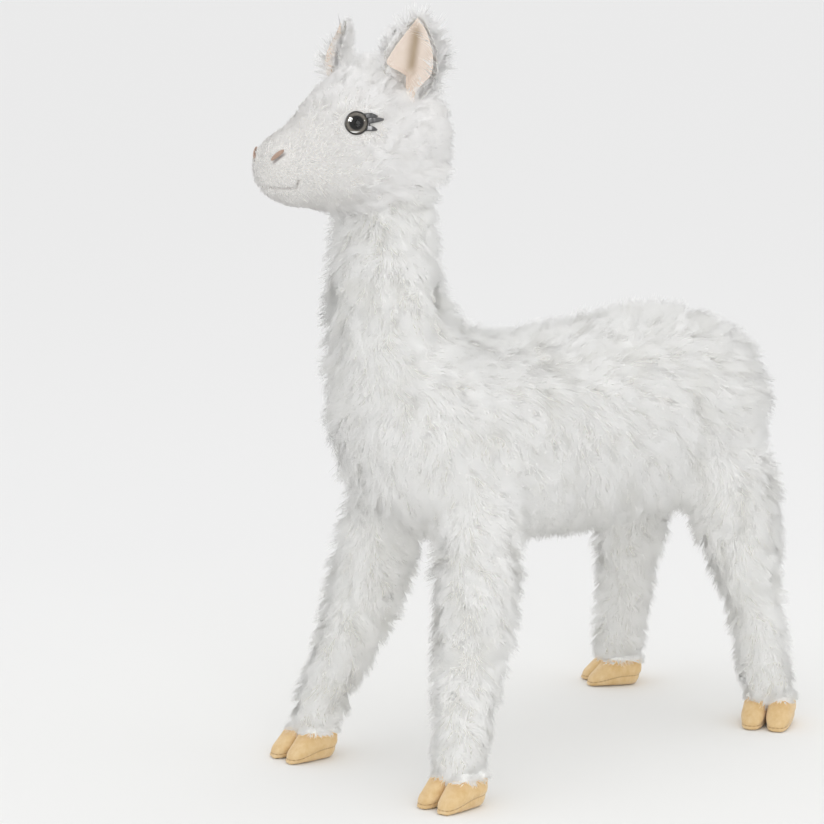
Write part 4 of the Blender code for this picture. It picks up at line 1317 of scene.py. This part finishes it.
def hang_fringe(node, points, tris):
    """White locks that hang from the leg's hem over the top of a toe."""
    covered = points[tris].mean(axis=1)[:, 2] > FRINGE_LEVEL
    foot = middle_of(node)

    def lay(roots, normals):
        """Down and a little away from the middle of the foot."""
        flow = 0.6 * unit((roots - foot) * (1, 1, 0)) + np.array([0.0, 0.0, -1.0])
        return swirled(flow, normals, roots, 71, 0.3)

    def pile(roots):
        """The same length everywhere."""
        return np.full(len(roots), FRINGE_LENGTH)

    add_fleece(node + "_fringe", (points, tris), FRINGE_LOCKS * covered, lay, pile, fleece, 700,
               width=0.0015, tufts=3 * BODY_TUFTS, pull=0.1, lean=(0.95, 1.35), tuft_reach=0.004)


# Eyes
def turned_surface(profile, place, axis, steps=64):
    """A profile of (radius, height) pairs carried round an axis. Its two end points lie on the axis."""
    profile = np.array(profile)
    side = unit(np.cross(axis, [0.0, 0.0, 1.0]))
    rise = np.cross(side, axis)
    turns = 2 * np.pi * np.arange(steps) / steps
    ring = side * np.cos(turns)[:, None] + rise * np.sin(turns)[:, None]
    inner = profile[1:-1]
    rows = place + ring[None] * inner[:, 0, None, None] + axis * inner[:, 1, None, None]
    ends = place + axis * profile[[0, -1], 1][:, None]
    points = np.concatenate([rows.reshape(-1, 3), ends])
    top = len(rows) * steps
    return points, outward(points, ring_triangles(len(rows), steps, (top, top + 1)))


def arc(radius, height, base, count, start=0.0):
    """Points of a round cap from its top to its rim, as (radius, height) pairs."""
    ball = (radius**2 + height**2) / (2 * height)
    turns = np.linspace(start, np.arcsin(min(radius / ball, 1.0)), count)
    return [(ball * math.sin(a), base + height - ball * (1 - math.cos(a))) for a in turns]


def fit_eye(word):
    """Cup with rim and shank, the painted iris set in the clear dome's foot, and the dome over it."""
    centre, axis, radius, rise = eye_frame(word)
    depth, seat, lip, shank = 0.012, 0.0035, 0.0008, 0.0025
    rim = [(radius - lip + lip * math.sin(a), lip * math.cos(a) - 0.0005) for a in np.linspace(-1.2, 1.57, 9)]
    profile = [(0, -0.0016), (radius - 2.0 * lip, -0.0014), *rim, (radius, -seat), (shank, -seat)]
    profile += [(shank, 0.0006 - depth), (shank - 0.0006, -depth), (0, -depth)]
    points, tris = turned_surface(profile, centre, axis)
    piece = new_piece("eye_cup_black_" + word, points, tris, black)
    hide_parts("eye_cup_" + word)
    inner = radius - 1.7 * lip
    disc = [(0.985 * inner * share, 0.0006) for share in np.linspace(0, 1, 14)]
    disc += [(0.985 * inner, -0.0010), (0, -0.0010)]
    points, tris = turned_surface(disc, centre, axis)
    off = (points - centre) - np.outer((points - centre) @ axis, axis)
    share = np.linalg.norm(off, axis=1) / inner
    turn = np.arctan2(off[:, 2], off[:, 1])
    new_piece("eye_iris_" + word, points, tris, iris, {"share": share, "turn": turn})
    dome = arc(inner, 0.7 * rise, 0.0006, 20) + [(inner, -0.0002), (inner - 0.0003, -0.0005), (0, -0.0005)]
    points, tris = turned_surface(dome, centre, axis)
    piece = new_piece("eye_dome_clear_" + word, points, tris, clear)
    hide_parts("eye_dome_" + word)
    return centre, axis, radius


def blade(base, tip, half_width, ridge, axis, steps=14):
    """A pointed lash: a flat strip from base to tip, with three ridges along it, thick in the middle."""
    share = np.linspace(0, 1, steps)
    way = unit(tip - base)
    side = unit(np.cross(axis, way))
    swell = half_width * (1 - share) ** 0.65 * (0.8 + 0.6 * share)
    swell[-1] = 0.0001
    across = np.array([-1.0, -0.66, -0.33, 0.0, 0.33, 0.66, 1.0, 0.0])
    up = np.array([0.0, 1.0, 0.25, 1.15, 0.25, 1.0, 0.0, -0.5])
    middle = base + np.outer(share, tip - base) + np.outer(0.0012 * np.sin(share * np.pi), axis)
    thick = ridge * (1 - 0.8 * share)
    wide_part = side * (swell[:, None] * across)[..., None]
    thick_part = axis * (thick[:, None] * up)[..., None]
    points = (middle[:, None] + wide_part + thick_part).reshape(-1, 3)
    return points, outward(points, ring_triangles(steps, LASH_SIDES))


def laid_on(skin, points, axis):
    """Points moved along the axis on to the skin, where a ray from 3 cm over them meets it."""
    tree = BVHTree.FromPolygons(*(part.tolist() for part in skin))
    moved = []
    for point in points:
        spot, _, _, _ = tree.ray_cast((point + 0.03 * axis).tolist(), (-axis).tolist(), 0.06)
        moved.append(0.0 if spot is None else (np.array(spot) - point) @ axis)
    return points + np.outer(moved, axis)


def add_lash(word, centre, axis, radius, skin):
    """Three ribbed points and a bar along the rim, laid on the skin of the face."""
    back, up = lash_ways(axis)
    blades = []
    for base_turn, tip, half in LASH_POINTS:
        angle = math.radians(base_turn)
        base = centre + radius * (0.98 * math.cos(angle) * back + 0.98 * math.sin(angle) * up)
        end = centre + radius * (tip[0] * back + tip[1] * up)
        points, tris = blade(base, end, half, 0.0009, axis)
        in_plane = points - np.outer((points - centre) @ axis, axis)
        height = ((laid_on(skin, in_plane, axis) - centre) @ axis).reshape(-1, LASH_SIDES)
        height = np.minimum(height.max(axis=1), 0.002).repeat(LASH_SIDES)
        blades.append((points + np.outer(height + 0.0012, axis), tris))
    turns = np.radians(np.linspace(-50, 42, 20))
    around = np.outer(np.cos(turns), back) + np.outer(np.sin(turns), up)
    blades.append(tube(centre - axis * 0.0006 + radius * 1.05 * around, 0.0013))
    points, tris = joined(blades)
    piece = new_piece("eyelash_black_" + word, points, tris, lash_black)
    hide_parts("eyelash_" + word)


def tube(line, radius, sides=8):
    """A round bar along a line of points, closed at both ends and thinner towards them."""
    ahead = unit(np.gradient(line, axis=0))
    side = unit(np.cross(ahead, unit(ahead[0] * 0.3 + np.array([0.2, 0.5, 0.9]))))
    rise = np.cross(ahead, side)
    turns = 2 * np.pi * np.arange(sides) / sides
    size = radius * np.sqrt(np.clip(1 - np.linspace(-0.98, 0.98, len(line)) ** 4, 0.02, 1))
    ring = side[:, None] * np.cos(turns)[:, None] + rise[:, None] * np.sin(turns)[:, None]
    points = (line[:, None] + ring * size[:, None, None]).reshape(-1, 3)
    return points, outward(points, ring_triangles(len(line), sides))


def joined(meshes):
    """Several meshes as one list of points and one of triangles."""
    start, points, tris = 0, [], []
    for some_points, some_tris in meshes:
        points.append(some_points)
        tris.append(some_tris + start)
        start += len(some_points)
    return np.concatenate(points), np.concatenate(tris)


def add_nostril(word, rings=19, sides=32):
    """A lens of suede in the slit of the nose, with a deep fold along its middle, painted darker as painted
    shade, as are its ends.
    """
    cloud = node_points("nostril_" + word)
    middle = cloud.mean(axis=0)
    axes = long_axes(cloud)
    half = np.array([np.abs((cloud - middle) @ axis).max() for axis in axes]) * (1.0, 0.8, 1.0)
    side = 1.0 if word == "left" else -1.0
    middle = middle - NOSTRIL_SINK * facing(axes[2], (side, -1.0, 0.3))
    rows = np.linspace(0, np.pi, rings + 2)[1:-1]
    rows, turns = np.meshgrid(rows, 2 * np.pi * np.arange(sides) / sides, indexing="ij")
    local = np.stack([np.cos(rows), np.sin(rows) * np.cos(turns), np.sin(rows) * np.sin(turns)], axis=-1)
    shaded_fold = np.exp(-((local[..., 1] / 0.28) ** 2)) * (1 - local[..., 0] ** 2)
    local[..., 2] *= 1 - 0.5 * shaded_fold
    grid = middle + (local * half) @ axes
    ends = middle + np.outer([half[0], -half[0]], axes[0])
    points = np.concatenate([grid.reshape(-1, 3), ends])
    tip = rings * sides
    tris = outward(points - middle, ring_triangles(rings, sides, (tip, tip + 1)))
    # Painted shade: the fold and both ends are painted darker
    crease_shade = np.append(shaded_fold.ravel(), [0.6, 0.6])
    piece = new_piece("nostril_suede_" + word, points, tris, nose_tan, {"crease_shade": crease_shade})
    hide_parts("nostril_" + word)


black = plastic_material("moulded_black", (0.012, 0.011, 0.010), 0.22, 0.5)
lash_black = plastic_material("lash_black", (0.045, 0.045, 0.047), 0.42)
washer_white = plastic_material("washer_white", (0.72, 0.72, 0.70), 0.4)
iris = iris_material()
clear = clear_material()
# The nostril suede's last colour is the painted shade of its fold
nose_tan = suede_material("nostril_suede", (0.48, 0.34, 0.27), (0.38, 0.26, 0.20), (0.10, 0.06, 0.05))
wire = wire_material()

dress_body()
face = dress_head()
for number, (word, _) in enumerate(SIDES):
    dress_ear(word, 400 + 50 * number)
    line_ear(word)
    add_lash(word, *fit_eye(word), face)
    add_nostril(word)
    for end in ("front", "rear"):
        for kind in ("outer", "inner"):
            sew_toe(kind, end + "_" + word)
    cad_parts["eye_washer_" + word].material_slots[0].material = washer_white
for end in ("front", "rear"):
    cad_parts["frame_wire_" + end].material_slots[0].material = wire
